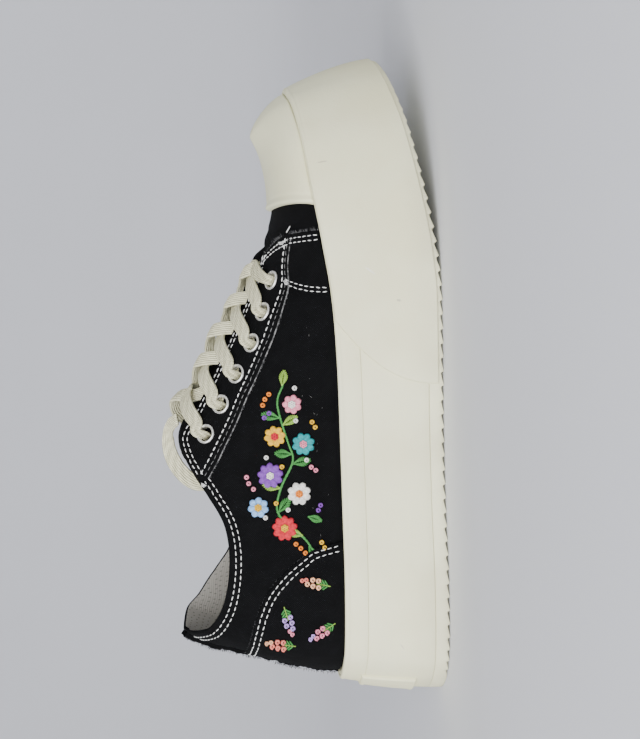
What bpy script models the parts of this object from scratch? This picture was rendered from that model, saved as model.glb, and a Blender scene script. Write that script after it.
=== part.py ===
"""Platform sneaker for the right foot, laced, standing on its sole.

Every surface of the shoe comes from one last. A column of the last is named by u, which runs once round the
shoe: 0 at the back of the heel, along the outer (lateral) side to 1 at the toe tip, and back along the inner
(medial) side to 2. phi climbs a column from the lip of the sole (0) to the ridge over the foot (pi / 2).
All sizes are millimetres, and new_piece turns them into metres.
"""

import bpy
import numpy as np

for thing in list(bpy.data.objects):
    bpy.data.objects.remove(thing)

MM = 0.001
GAP = 0.3
ORIGIN = (135.246, -1.154)

HEEL_BACK = (-2.5, -1)
TOE_TIP = (272.5, 8)
HEEL_RAKE, SIDE_RAKE, TOE_RAKE = 6.5, 3.0, 13.0
RAKE_CURVE = 1.6
OUTSOLE_HIGH = 6.0
TREAD_BORDER = 9.0
TEETH, TOOTH_DEEP = 46, 1.2
TEETH_FROM, TEETH_TO = 0.07, 0.90
FOXING_HIGH, FOXING_THICK = 9.4, 1.4
LIP = 3.4
CUP_DEEP = 10.0
INSOLE_THICK = 4.0
BUMPER_THICK = 1.2
BUMPER_REAR, BUMPER_SWEEP = 129.5, 26.0
PLATE_LOW, PLATE_HIGH, PLATE_HALF_WIDE, PLATE_THICK = 13.0, 36.0, 21.0, 1.2

WALL = 1.6
OVERLAY_UNDER, OVERLAY_OVER = 0.45, 1.3
CAP_UNDER, CAP_OVER = 0.6, 3.0
CAP_REAR, CAP_LATERAL_SLANT, CAP_MEDIAL_SLANT = 208.5, -7.0, 11.0
PATCH_REAR, PATCH_FRONT = 167.5, 188.5
EYESTAY_REAR, EYESTAY_FRONT, EYESTAY_SLANT = 95.0, 191.0, 9.0
SEAM_HALF_WIDE, SEAM_PROUD = 0.8, 2.9
TONGUE_THICK = 2.0
TONGUE_TOP, TONGUE_FRONT = 98.0, 200.0
HEEL_RIDGE, TOE_RIDGE = 89.0, 240.0

HOLE, BARREL, BORE, FLANGE = 3.2, 2.9, 2.45, 4.8
LACE_WIDE, LACE_THICK, LOOP_RADIUS = 7.0, 1.3, 1.6
STRAP_STEPS = 7


def table(columns, *rows):
    return dict(zip(columns.split(), np.array(rows, float).T))


# Sole outline at the floor, on both sides of the middle line.
OUTLINE = table(
    "station lateral medial",
    (12, -28, 26),
    (45, -38, 35.5),
    (80, -38.5, 35),
    (115, -42, 36.5),
    (150, -49, 43.5),
    (185, -52, 49),
    (215, -48.5, 49),
    (242, -38, 43),
    (262, -21, 30),
)
# Height of the sole's underside, with its toe spring, and of its top edge.
SOLE = table(
    "station bottom top",
    (0, 0, 44),
    (40, 0, 43),
    (100, 0, 42.5),
    (140, 0, 43),
    (167, 0, 44.5),
    (190, 1.9, 47.5),
    (215, 5.7, 51),
    (240, 10, 53.3),
    (260, 14.5, 55),
    (275, 18, 55.5),
)
# Ridge of the last over heel, instep, vamp and toe: its height, how far it leans to the medial side, and the
# two powers of each section, (reach / width) ** peak + (height / ridge) ** flank = 1.
RIDGE = table(
    "station height side peak flank",
    (60, 150, -1, 2.9, 2),
    (89, 134, -1, 2.9, 2),
    (100, 125, -1.5, 2.4, 2),
    (112, 116, -2, 1.9, 1.9),
    (124, 107.5, -2, 1.7, 1.8),
    (138, 98.8, -2, 1.5, 1.7),
    (160, 86.8, -1, 1.25, 1.5),
    (176, 77.5, 0, 1.15, 1.4),
    (190, 70.5, 0.5, 1.25, 1.5),
    (199, 67, 1, 1.5, 1.7),
    (212, 63.8, 2, 1.9, 2),
    (226, 65.5, 4, 2.2, 2),
    (240, 71.5, 6, 2.2, 2),
)
# Top edge of the upper: height at the collar, half the opening at the throat.
COLLAR = table(
    "station lateral medial",
    (5, 111, 111),
    (10, 110, 110),
    (18, 105, 106),
    (28, 97.5, 99.5),
    (40, 91, 93),
    (50, 88.3, 90),
    (60, 87.2, 88.3),
    (72, 89.5, 90),
    (84, 95.5, 95.5),
    (93, 101.5, 101.5),
    (100, 106, 106),
    (107, 108.3, 108.3),
    (112, 107.8, 107.8),
)
THROAT = table("station gap", (112, 14), (125, 13.5), (140, 13), (170, 11.5), (184, 10), (190, 8.5), (193.5, 5), (195.5, 0))
# Lower edge of the eyestay, top edge of the counter, and the eyelets' heights.
EYESTAY = table("station height", (93, 97), (110, 88.4), (127, 80.8), (145, 71), (173, 62), (198, 60))
COUNTER = table(
    "station height", (5, 84.5), (15, 83.3), (26, 81), (35, 78.5), (44, 74.5), (51, 69), (57, 61), (61, 52), (63, 46)
)
EYELETS = table(
    "station height", (173.2, 66.3), (160.3, 71.8), (147.6, 77.8), (134.8, 84.5), (122.2, 91.4), (109.8, 98)
)
VENTS = table("station above_lip", (88, 15), (106, 11))
TONGUE = table(
    "station half_wide drop bulge",
    (98, 29, 9, 0),
    (105, 29, 3.5, 0),
    (112, 28, 0.5, 0),
    (125, 26, 0, 0),
    (150, 24, 0, 0.6),
    (172, 22, 0, 2.0),
    (184, 21, 0, 2.2),
    (191, 20.5, 0, 0),
    (200, 20, 0, 0),
)
# The loop of the tied end, from the last crossing over the tongue and down into the collar.
LOOP = table(
    "station side height",
    (119, 2, 114.6),
    (114, 9, 118),
    (107.5, 15, 119.5),
    (100.5, 17, 117.5),
    (96, 15, 112),
    (95, 12, 105.5),
    (96, 9, 99),
)


def smooth(rows, column, station):
    """A curve through one column of a table, read at these stations."""
    x, y = rows["station"], rows[column]
    slope = np.gradient(y, x)
    at = np.clip(np.asarray(station, float), x[0], x[-1])
    i = np.clip(np.searchsorted(x, at) - 1, 0, len(x) - 2)
    step = x[i + 1] - x[i]
    f = (at - x[i]) / step
    rise = (1 + 2 * f) * (1 - f) ** 2 * y[i] + f * f * (3 - 2 * f) * y[i + 1]
    return rise + step * f * (1 - f) * ((1 - f) * slope[i] - f * slope[i + 1])


def closed_outline(steps=40):
    """A closed curve through the outline table, as points with their u."""
    lateral = np.column_stack([OUTLINE["station"], OUTLINE["lateral"]])
    medial = np.column_stack([OUTLINE["station"], OUTLINE["medial"]])[::-1]
    p1 = np.vstack([[HEEL_BACK], lateral, [TOE_TIP], medial])
    p0, p2, p3 = np.roll(p1, 1, 0), np.roll(p1, -1, 0), np.roll(p1, -2, 0)
    d0, d1, d2 = (np.linalg.norm(b - a, axis=1)[:, None] for a, b in ((p0, p1), (p1, p2), (p2, p3)))
    leave = d1 * ((p1 - p0) / d0 - (p2 - p0) / (d0 + d1)) + p2 - p1
    arrive = d1 * ((p3 - p2) / d2 - (p3 - p1) / (d1 + d2)) + p2 - p1
    f = np.linspace(0, 1, steps, endpoint=False)[None, :, None]
    p1, p2, leave, arrive = p1[:, None], p2[:, None], leave[:, None], arrive[:, None]
    curve = (1 + 2 * f) * (1 - f) ** 2 * p1 + f * f * (3 - 2 * f) * p2
    curve = (curve + f * (1 - f) * ((1 - f) * leave - f * arrive)).reshape(-1, 2)
    toe = (len(lateral) + 1) * steps
    closed = np.vstack([curve, curve[:1]])
    length = np.concatenate([[0], np.cumsum(np.linalg.norm(np.diff(closed, axis=0), axis=1))])
    u = np.where(length <= length[toe], length / length[toe], 1 + (length - length[toe]) / (length[-1] - length[toe]))
    return u[:-1], curve


RING_U, RING = closed_outline()


def floor_point(u):
    return np.stack([np.interp(np.mod(u, 2), RING_U, RING[:, k], period=2) for k in (0, 1)], -1)


def outline(u, rise, inset):
    """The sole's side at a share of its height, set in from its face."""
    along = floor_point(u + 0.002) - floor_point(u - 0.002)
    out = np.stack([along[..., 1], -along[..., 0]], -1) / np.linalg.norm(along, axis=-1, keepdims=True)
    front, back = np.clip(out[..., 0], 0, 1) ** 2, np.clip(-out[..., 0], 0, 1) ** 2
    rake = SIDE_RAKE + (TOE_RAKE - SIDE_RAKE) * front + (HEEL_RAKE - SIDE_RAKE) * back
    return floor_point(u) - out * (rake * rise**RAKE_CURVE + inset)[..., None]


def sole_levels(u):
    """Heights of the sole's underside and top edge at this part of its outline."""
    station = floor_point(u)[..., 0]
    return np.maximum(smooth(SOLE, "bottom", station), 0.0), smooth(SOLE, "top", station)


def side_wall(u, inset, from_bottom=None, from_top=None):
    """A point of the sole at a height over its underside or under its top edge."""
    u, inset = np.broadcast_arrays(np.asarray(u, float), inset)
    low, high = sole_levels(u)
    height = low + from_bottom if from_top is None else high - from_top
    rise = np.clip((height - low) / (high - low), 0, 1)
    return np.concatenate([outline(u, rise, inset), height[..., None]], -1)


def middle_station(u):
    """Station halfway between a column's foot and that of its mate on the other side."""
    inset = np.full(np.shape(u), LIP)
    return (outline(u, 1.0, inset)[..., 0] + outline(2 - u, 1.0, inset)[..., 0]) / 2


SHARES = np.linspace(0, 1, 801)
SHARE_STATIONS = middle_station(SHARES)


def at_station(station, side):
    """u of the column at a station on the lateral (-1) or medial (+1) side."""
    share = np.interp(station, SHARE_STATIONS, SHARES)
    return np.where(np.asarray(side) < 0, share, 2 - share)


def soft(x, width):
    return width * np.logaddexp(0, x / width)


def column(u):
    """Foot, ridge and powers of one column: x, y and height at the lip, the same at the ridge, peak and flank."""
    u = np.asarray(u, float)
    foot = outline(u, 1.0, np.full(u.shape, LIP + GAP))
    low = sole_levels(u)[1]
    station = HEEL_RIDGE + soft(middle_station(u) - HEEL_RIDGE, 14.0)
    station = TOE_RIDGE - soft(TOE_RIDGE - station, 5.0)
    high, side, peak, flank = (smooth(RIDGE, k, station) for k in ("height", "side", "peak", "flank"))
    return foot[..., 0], foot[..., 1], low, station, side, high, peak, flank


def last(u, phi):
    x, y, low, ridge_x, ridge_y, high, peak, flank = column(u)
    left = np.clip(np.cos(phi), 0, 1) ** (2 / peak)
    up = np.sin(phi) ** (2 / flank)
    return np.stack([ridge_x + (x - ridge_x) * left, ridge_y + (y - ridge_y) * left, low + (high - low) * up], -1)


def facing(u, phi):
    """Unit vector out of the last, the mean of both sides on the ridge."""

    def one_side(u, phi):
        phi = np.clip(phi, 0.06, np.pi / 2 - 0.06)
        across = np.cross(last(u + 0.002, phi) - last(u - 0.002, phi), last(u, phi + 0.03) - last(u, phi - 0.03))
        return across / np.linalg.norm(across, axis=-1, keepdims=True)

    near = np.clip((phi - (np.pi / 2 - 0.12)) / 0.12, 0, 1)[..., None]
    both = one_side(u, phi) * (1 - near / 2) + one_side(2 - u, phi) * near / 2
    return both / np.linalg.norm(both, axis=-1, keepdims=True)


def skin(u, phi, lift):
    """A point at a height over the last, or under it when lift is negative."""
    u, phi, lift = np.broadcast_arrays(np.asarray(u, float), np.asarray(phi, float), np.asarray(lift, float))
    return last(u, phi) + facing(u, phi) * lift[..., None]


def phi_at_height(u, height):
    _, _, low, _, _, high, _, flank = column(u)
    return np.arcsin(np.clip((height - low) / (high - low), 0, 1) ** (flank / 2))


def phi_at_reach(u, reach):
    _, y, _, _, ridge_y, _, peak, _ = column(u)
    return np.arccos(np.clip(np.abs(reach) / np.abs(y - ridge_y), 0, 1) ** (peak / 2))


def over_lip(u, above):
    return phi_at_height(u, column(u)[2] + above)


def top_edge(u):
    """phi of the upper's top edge: the collar, then the throat, then the closed vamp."""
    station = middle_station(u)
    height = np.where(np.mod(u, 2) < 1, smooth(COLLAR, "lateral", station), smooth(COLLAR, "medial", station))
    throat = phi_at_reach(u, smooth(THROAT, "gap", station))
    blend = np.clip((station - 107) / 10, 0, 1)
    return phi_at_height(u, height) * (1 - blend) + throat * blend


def across(station, reach, lift):
    """A point over the foot at a signed distance from the ridge, lateral side negative."""
    u = at_station(station, np.where(np.asarray(reach) <= 0, -1, 1))
    return skin(u, phi_at_reach(u, reach), lift)


def new_piece(name, points, faces):
    """One closed object: corners that coincide become one, and every face looks outwards."""
    _, first, index = np.unique(np.round(points, 3), axis=0, return_index=True, return_inverse=True)
    corners = [list(dict.fromkeys(face)) for face in index.reshape(-1)[np.array(faces)].tolist()]
    corners = [face for face in corners if len(face) > 2]
    points = points[first]
    ends = np.array([(face[0], face[k], face[k + 1]) for face in corners for k in range(1, len(face) - 1)])
    if np.linalg.det(points[ends]).sum() < 0:
        corners = [face[:1] + face[:0:-1] for face in corners]
    mesh = bpy.data.meshes.new(name)
    mesh.from_pydata((points - (*ORIGIN, 0)) * MM, [], corners)
    piece = bpy.data.objects.new(name, mesh)
    bpy.context.scene.collection.objects.link(piece)
    return piece


def grid_faces(rows, columns, start=0, ring=False):
    number = start + np.arange(rows * columns).reshape(rows, columns)
    if ring:
        number = np.column_stack([number, number[:, :1]])
    return np.stack([number[:-1, :-1], number[:-1, 1:], number[1:, 1:], number[1:, :-1]], -1).reshape(-1, 4)


def shell(name, outer, inner, ring=False, top_open=True):
    """A wall between two grids of the same size, closed along every free edge."""
    rows, columns = outer.shape[:2]
    count = rows * columns
    number = np.arange(count).reshape(rows, columns)
    if ring:
        number = np.column_stack([number, number[:, :1]])
    rims = [number[0, ::-1]]
    if not ring:
        rims += [number[:, 0], number[::-1, -1]]
    faces = [grid_faces(rows, columns, 0, ring), grid_faces(rows, columns, count, ring)[:, [0, 3, 2, 1]]]
    for rim in rims:
        faces.append(np.stack([rim[:-1], rim[1:], rim[1:] + count, rim[:-1] + count], -1))
    top = number[-1]
    is_open = np.broadcast_to(top_open, len(top) - 1)
    faces.append(np.stack([top[:-1], top[1:], top[1:] + count, top[:-1] + count], -1)[is_open])
    return new_piece(name, np.concatenate([outer.reshape(-1, 3), inner.reshape(-1, 3)]), np.concatenate(faces))


def even_shares(count):
    """Shares of one side from heel to toe, closer together round both ends."""
    even = np.linspace(0, 1, count)
    return even - 0.04 * np.sin(2 * np.pi * even)


def both_sides(shares):
    """u all round the shoe for these shares of each side, heel and toe once."""
    return np.concatenate([shares, 2 - shares[-2:0:-1]])


def layered(name, levels):
    """A solid from closed rings, each one above or inside the last, with both end rings filled straight across."""
    count = len(levels[0])
    half = count // 2
    here = np.arange(half)
    mate = lambda c: np.mod(count - c, count)
    first = np.stack([here + 1, here, mate(here), mate(here + 1)], -1)
    end = np.stack([here, here + 1, mate(here + 1), mate(here)], -1) + count * (len(levels) - 1)
    faces = np.concatenate([grid_faces(len(levels), count, 0, True), first, end])
    return new_piece(name, np.concatenate(levels), faces)


def cut(piece, cutter):
    """Take the cutter's solid out of a piece."""
    change = piece.modifiers.new("holes", "BOOLEAN")
    change.operation, change.solver, change.object = "DIFFERENCE", "EXACT", cutter
    cutter.hide_render = True


# Outsole: flat tread with a saw-toothed rim.
start = TEETH_FROM + (TEETH_TO - TEETH_FROM) * np.arange(TEETH) / TEETH
tooth = (TEETH_TO - TEETH_FROM) / TEETH
heel_shares = np.linspace(0, TEETH_FROM, 5, endpoint=False)
toe_shares = np.linspace(TEETH_TO, 1, 8)
shares = np.concatenate([heel_shares, np.stack([start, start + 0.84 * tooth], -1).ravel(), toe_shares])
notch = np.concatenate([np.zeros(5), np.tile([0.0, TOOTH_DEEP], TEETH), np.zeros(8)])
round_u, round_notch = both_sides(shares), np.concatenate([notch, notch[-2:0:-1]])
layered(
    "outsole",
    [
        side_wall(round_u, TREAD_BORDER, from_bottom=np.zeros(len(round_u))),
        side_wall(round_u, 0.0, from_bottom=round_notch),
        side_wall(round_u, 0.0, from_bottom=np.full(len(round_u), OUTSOLE_HIGH)),
    ],
)

# Midsole: the platform, with a rebate for the foxing and a cup that takes the upper.
ring = both_sides(even_shares(41))
foot_low = OUTSOLE_HIGH + GAP
low, high = sole_levels(ring)
tall = high - low
wall_top = tall - FOXING_HIGH
layered(
    "midsole",
    [side_wall(ring, 0.0, from_bottom=foot_low + (wall_top - foot_low) * f) for f in (0, 0.5, 1)]
    + [
        side_wall(ring, FOXING_THICK + GAP, from_bottom=wall_top),
        side_wall(ring, FOXING_THICK + GAP, from_top=0.0),
        side_wall(ring, LIP, from_top=0.0),
        side_wall(ring, LIP, from_top=0.0) - (0, 0, CUP_DEEP),
    ],
)

# Foxing: the band of rubber round the top of the sole.
band = [(0.0, FOXING_HIGH - GAP), (0.0, 0.0)]
faces_out = np.stack([side_wall(ring, inset, from_top=down) for inset, down in band])
faces_in = np.stack([side_wall(ring, inset + FOXING_THICK, from_top=down) for inset, down in band])
shell("foxing", faces_out, faces_in, ring=True)

# Toe bumper: the second layer of rubber round the front, its rear edge curving forward as it rises.
rise = np.linspace(0, 1, 4)[:, None]
rear = BUMPER_REAR + BUMPER_SWEEP * rise**2.2
sweep = np.linspace(-1, 1, 41)[None, :]
rear_u = np.interp(rear, SHARE_STATIONS, SHARES)
bumper_u = 1 + (1 - rear_u) * sweep
low, high = sole_levels(bumper_u)
tall = high - low
height = foot_low + (tall - foot_low) * rise
shell(
    "toe_bumper",
    side_wall(bumper_u, -2 * GAP - BUMPER_THICK, from_bottom=height),
    side_wall(bumper_u, -2 * GAP, from_bottom=height),
)

# Heel plate: a blank rubber tab on the back of the sole.
height = np.linspace(PLATE_LOW, PLATE_HIGH, 3)[:, None]
plate_u = np.linspace(-1, 1, 9)[None, :] * PLATE_HALF_WIDE / 320
height, plate_u = np.broadcast_arrays(height, plate_u)
shell(
    "heel_plate",
    side_wall(plate_u, -GAP - PLATE_THICK, from_bottom=height),
    side_wall(plate_u, -GAP, from_bottom=height),
)

# Insole: a footbed on the floor of the cup, inside the upper.
inside = LIP + GAP + WALL + 1.5 * GAP
layered(
    "insole",
    [side_wall(ring, inside, from_top=0.0) - (0, 0, CUP_DEEP - GAP - up) for up in (0, INSOLE_THICK)],
)

# Upper: one wall of canvas from the floor of the cup to the collar and throat, closed over the vamp and toe.
round_u = both_sides(even_shares(41))
edge = top_edge(round_u)
climb = np.linspace(0, 1, 9)[:, None]
outer = skin(round_u[None], climb * edge[None], 0.0)
inner = skin(round_u[None], climb * edge[None], -WALL)
down = np.array([0, 0, CUP_DEEP - GAP])
inner[0, :, 2] = outer[0, :, 2]
outer = np.concatenate([outer[:1] - down, outer])
inner = np.concatenate([inner[:1] - down, inner])
shut = edge > np.pi / 2 - 1e-6
upper = shell("upper", outer, inner, ring=True, top_open=~(shut & np.roll(shut, -1)))

# Toe cap: thick rubber moulded over the front of the vamp.
climb = np.linspace(0, 1, 7)[:, None]
sweep = np.linspace(-1, 1, 27)[None, :]
slant = np.where(sweep > 0, CAP_MEDIAL_SLANT, CAP_LATERAL_SLANT) * (1 - climb)
cap_u = 1 + (1 - np.interp(CAP_REAR + slant, SHARE_STATIONS, SHARES)) * sweep
first = over_lip(cap_u, GAP)
cap_phi = first + (np.pi / 2 - first) * climb
shell(
    "toe_cap",
    skin(cap_u, cap_phi, CAP_OVER),
    skin(cap_u, cap_phi, CAP_UNDER),
    top_open=False,
)

# Overlays of a second layer of canvas, cut from the upper's own form.
eyestays = {}
for side, name in ((-1, "lateral"), (1, "medial")):
    order = 1 if side < 0 else -1
    climb = np.linspace(0, 1, 5)[:, None]
    front = EYESTAY_FRONT - EYESTAY_SLANT * climb
    station = EYESTAY_REAR + (front - EYESTAY_REAR) * np.linspace(0, 1, 22)[None, ::order]
    stay_u = at_station(station, side)
    low = phi_at_height(stay_u, smooth(EYESTAY, "height", station))
    stay_phi = low + (top_edge(stay_u) - low) * climb
    eyestays[side] = shell(
        "eyestay_" + name, skin(stay_u, stay_phi, OVERLAY_OVER), skin(stay_u, stay_phi, OVERLAY_UNDER)
    )

    station = np.linspace(PATCH_REAR, PATCH_FRONT, 5)[None, ::order]
    patch_u = at_station(station, side)
    low = over_lip(patch_u, GAP)
    high = phi_at_height(patch_u, smooth(EYESTAY, "height", station) - 0.5)
    patch_phi = low + (high - low) * np.linspace(0, 1, 4)[:, None]
    shell("patch_" + name, skin(patch_u, patch_phi, OVERLAY_OVER), skin(patch_u, patch_phi, OVERLAY_UNDER))

    near_seam = (SEAM_HALF_WIDE + GAP) / 320
    share = np.linspace(near_seam, np.interp(62.3, SHARE_STATIONS, SHARES), 14)[None, ::order]
    counter_u = share if side < 0 else 2 - share
    low = over_lip(counter_u, GAP)
    high = phi_at_height(counter_u, smooth(COUNTER, "height", middle_station(counter_u)))
    counter_phi = low + (high - low) * np.linspace(0, 1, 5)[:, None]
    shell("counter_" + name, skin(counter_u, counter_phi, OVERLAY_OVER), skin(counter_u, counter_phi, OVERLAY_UNDER))

# Back seam: the raw edges of both quarters, standing out along the heel.
seam_u = np.array([[-1.0, 1.0]]) * SEAM_HALF_WIDE / 320
low = over_lip(seam_u, GAP)
seam_phi = low + (top_edge(seam_u) - low) * np.linspace(0, 1, 9)[:, None]
shell("back_seam", skin(seam_u, seam_phi, GAP + SEAM_PROUD), skin(seam_u, seam_phi, GAP))

# Tongue: a padded strip under the throat, from below the vamp to just over the eyestays.
station = np.linspace(TONGUE_FRONT, TONGUE_TOP, 14)[:, None]
wide = np.linspace(-1, 1, 9)[None, :]
reach = wide * smooth(TONGUE, "half_wide", station)
sink = smooth(TONGUE, "drop", station) - smooth(TONGUE, "bulge", station) * np.exp(-((reach / 6) ** 2))
sink = np.stack([0 * sink, 0 * sink, sink], -1)
station = station + 0 * reach
under = -WALL - 0.8
shell(
    "tongue",
    across(station, reach, under)[::-1] - sink[::-1],
    across(station, reach, under - TONGUE_THICK)[::-1] - sink[::-1],
)


def turned(profile, centre, axis, sides=10):
    """Points and faces of a ring turned about an axis, from radius and height pairs."""
    profile = np.array(profile, float)
    axis = axis / np.linalg.norm(axis)
    first = np.cross(axis, (1.0, 0.2, 0.1))
    first /= np.linalg.norm(first)
    second = np.cross(axis, first)
    turn = np.linspace(0, 2 * np.pi, sides, endpoint=False)[:, None, None]
    spoke = np.cos(turn) * first + np.sin(turn) * second
    points = centre + profile[None, :, :1] * spoke + profile[None, :, 1:] * axis
    number = np.arange(sides * len(profile)).reshape(sides, -1)
    right, up = np.roll(number, -1, 0), np.roll(number, -1, 1)
    faces = np.stack([number, right, np.roll(right, -1, 1), up], -1).reshape(-1, 4)
    return points.reshape(-1, 3), faces


def eyelet(name, u, phi, seat):
    """A flanged metal ring through the wall, and the plug that cuts its hole."""
    centre, axis = last(u, phi), facing(u, phi)
    profile = [
        (BORE, -WALL + 0.1),
        (BARREL, -WALL + 0.35),
        (BARREL, seat + 0.2),
        (FLANGE, seat + 0.4),
        (BORE + 0.9, seat + 1.0),
        (BORE, seat + 0.6),
    ]
    new_piece(name, *turned(profile, centre, axis))
    points, faces = turned([(0, -6), (HOLE, -6), (HOLE, 6), (0, 6)], centre, axis)
    return points, faces


# Eyelets along both eyestays, and the two vents low on the medial side.
plugs = {-1: [], 1: []}
for side, name in ((-1, "lateral"), (1, "medial")):
    for number, (station, height) in enumerate(zip(EYELETS["station"], EYELETS["height"]), 1):
        u = at_station(station, side)
        phi = phi_at_height(u, height)
        plugs[side].append(eyelet(f"eyelet_{name}_{number}", u, phi, OVERLAY_OVER))
vents = []
for number, (station, above) in enumerate(zip(VENTS["station"], VENTS["above_lip"]), 1):
    u = at_station(station, 1)
    vents.append(eyelet(f"vent_{number}", u, over_lip(u, above), 0.0))


def joined(name, parts):
    """Several closed meshes as one object."""
    offsets = np.cumsum([0] + [len(points) for points, _ in parts[:-1]])
    faces = np.concatenate([faces + offset for (_, faces), offset in zip(parts, offsets)])
    return new_piece(name, np.concatenate([points for points, _ in parts]), faces)


cut(eyestays[-1], joined("holes_lateral", plugs[-1]))
cut(eyestays[1], joined("holes_medial", plugs[1]))
cut(upper, joined("holes_upper", plugs[-1] + plugs[1] + vents))


def strap(name, from_station, from_reach, to_station, to_reach, from_lift, middle_lift, to_lift, bow=0.0):
    """A flat length of lace over the tongue from one side to the other, its lift over the last given at both
    ends and halfway."""
    f = np.linspace(0, 1, STRAP_STEPS)
    station = from_station + (to_station - from_station) * f + bow * 4 * f * (1 - f)
    reach = from_reach + (to_reach - from_reach) * f
    lift = np.interp(f, [0, 0.28, 0.5, 0.72, 1], [from_lift, from_lift, middle_lift, to_lift, to_lift])
    path = across(station, reach, lift)
    u = at_station(station, np.where(reach <= 0, -1, 1))
    up = facing(u, phi_at_reach(u, reach))
    along = np.gradient(path, axis=0)
    wide = np.cross(along, up)
    wide *= LACE_WIDE / 2 / np.linalg.norm(wide, axis=1, keepdims=True)
    thick = up * LACE_THICK / 2
    corner = np.stack([path - wide - thick, path + wide - thick, path + wide + thick, path - wide + thick], 1)
    number = np.arange(4 * STRAP_STEPS).reshape(STRAP_STEPS, 4)
    ahead = np.roll(number, -1, 1)
    faces = np.stack([number[:-1], ahead[:-1], ahead[1:], number[1:]], -1).reshape(-1, 4)
    ends = np.array([number[0, ::-1], number[-1]])
    return new_piece(name, corner.reshape(-1, 3), np.concatenate([faces, ends]))


# Lace: a bar at the front, then crossings, each running from an eyelet to the next one forward on the other side.
on_stay = OVERLAY_OVER + GAP + LACE_THICK / 2 + 0.45
reaches = {}
for side in (-1, 1):
    u = at_station(EYELETS["station"], side)
    phi = phi_at_height(u, EYELETS["height"])
    _, y, _, _, ridge_y, _, peak, _ = column(u)
    reaches[side] = np.abs(y - ridge_y) * np.cos(phi) ** (2 / peak) - FLANGE - 1.2
stations = EYELETS["station"]
lace = strap("lace", stations[0], -reaches[-1][0], stations[0], reaches[1][0], on_stay, 1.4, on_stay, 6.0)
for n in range(1, len(stations)):
    for side in (-1, 1):
        tail = smooth(THROAT, "gap", stations[n - 1]) - 3.5
        piece = strap(
            f"strap_{n}_{side}", stations[n], side * reaches[side][n], stations[n - 1], -side * tail, on_stay, 1.2, 1.4
        )
        change = lace.modifiers.new("join", "BOOLEAN")
        change.operation, change.solver, change.object = "UNION", "EXACT", piece
        piece.hide_render = True

# Lace loop: the tied end's loop, standing over the tongue and tucked down into the collar.
loop = bpy.data.curves.new("lace_loop", "CURVE")
loop.dimensions = "3D"
loop.bevel_depth = LOOP_RADIUS * MM
loop.bevel_resolution = 2
loop.use_fill_caps = True
s = np.linspace(0, 1, 14)
line = table("station side height", *np.column_stack([LOOP[k] for k in ("station", "side", "height")]))
mark = np.linspace(0, 1, len(line["station"]))
way = np.column_stack([smooth({"station": mark, "value": line[k]}, "value", s) for k in ("station", "side", "height")])
spline = loop.splines.new("POLY")
spline.points.add(len(way) - 1)
for point, place in zip(spline.points, (way - (*ORIGIN, 0)) * MM):
    point.co = (*place, 1)
bpy.context.scene.collection.objects.link(bpy.data.objects.new("lace_loop", loop))
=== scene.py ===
"""Laced platform sneaker for the right foot: its looks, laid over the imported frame.

Shapes are worked out in millimetres, x from heel to toe, y to the inner (medial) side and z up, and add_mesh
turns them into the row frame's metres.
"""

import bpy
import numpy as np
from mathutils import Matrix, Vector


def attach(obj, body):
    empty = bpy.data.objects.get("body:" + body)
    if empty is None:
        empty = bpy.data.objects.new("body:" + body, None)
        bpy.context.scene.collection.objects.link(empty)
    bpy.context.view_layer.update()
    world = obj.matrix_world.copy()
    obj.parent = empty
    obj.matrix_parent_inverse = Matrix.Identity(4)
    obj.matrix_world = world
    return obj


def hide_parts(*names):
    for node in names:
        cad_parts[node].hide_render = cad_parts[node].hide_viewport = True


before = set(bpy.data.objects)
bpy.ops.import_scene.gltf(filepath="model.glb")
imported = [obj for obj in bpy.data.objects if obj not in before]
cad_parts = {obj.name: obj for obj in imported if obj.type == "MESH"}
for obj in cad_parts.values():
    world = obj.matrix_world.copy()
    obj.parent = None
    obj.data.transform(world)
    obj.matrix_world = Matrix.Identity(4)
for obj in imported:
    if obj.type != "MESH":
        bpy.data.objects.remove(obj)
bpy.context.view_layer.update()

# Studio: a pale seamless bowl that the shoe stands in, soft panels of light, and the photograph's camera,
# level with the ankle on the outer side and rolled so that the toe is at the top of the picture.
MM = 0.001
ORIGIN = np.array([135.246, -1.154, 0.0])
BOWL_FLAT, BOWL_BEND, BOWL_WALL = 1300.0, 1100.0, 1800.0
BOWL_COLOUR, BOWL_FLECK = (0.66, 0.67, 0.713, 1), (0.675, 0.685, 0.73, 1)
CAMERA_PLACE = (140.3, -597.0, 96.0)
CAMERA_AIM = (138.1, 3.0, 46.3)
CAMERA_ROLL = np.radians(2.5)
CAMERA_LENS, CAMERA_SENSOR = 66.96, 36.0
AIR_COLOUR, AIR_POWER = (0.95, 0.97, 1.0, 1), 0.12
BOWL_RINGS, BOWL_SIDES = 8, 96
# Panels: name, place, aim, width and height in metres, and power.
PANELS = (
    ("side_panel", (-420, -1150, 420), (0, 0, 50), (1.7, 1.3), 52.0),
    ("toe_panel", (1150, -250, 300), (0, 0, 50), (1.0, 0.5), 2.0),
    ("wall_panel", (100, 950, 1300), (100, 2000, 100), (2.0, 0.6), 16.0),
)


def add_mesh(name, points, faces, materials, kinds=None, uv=None):
    """One object from points in millimetres and faces: kinds picks each face's material, uv is by point."""
    mesh = bpy.data.meshes.new(name)
    mesh.from_pydata((np.asarray(points) - ORIGIN) * MM, [], faces, shade_flat=False)
    for material in materials:
        mesh.materials.append(material)
    if kinds is not None:
        mesh.polygons.foreach_set("material_index", np.asarray(kinds, np.int32))
    if uv is not None:
        corner = np.zeros(len(mesh.loops), np.int32)
        mesh.loops.foreach_get("vertex_index", corner)
        mesh.uv_layers.new(name="cloth").data.foreach_set("uv", uv[corner].ravel())
    mesh.validate()
    piece = bpy.data.objects.new(name, mesh)
    bpy.context.scene.collection.objects.link(piece)
    return piece


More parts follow.
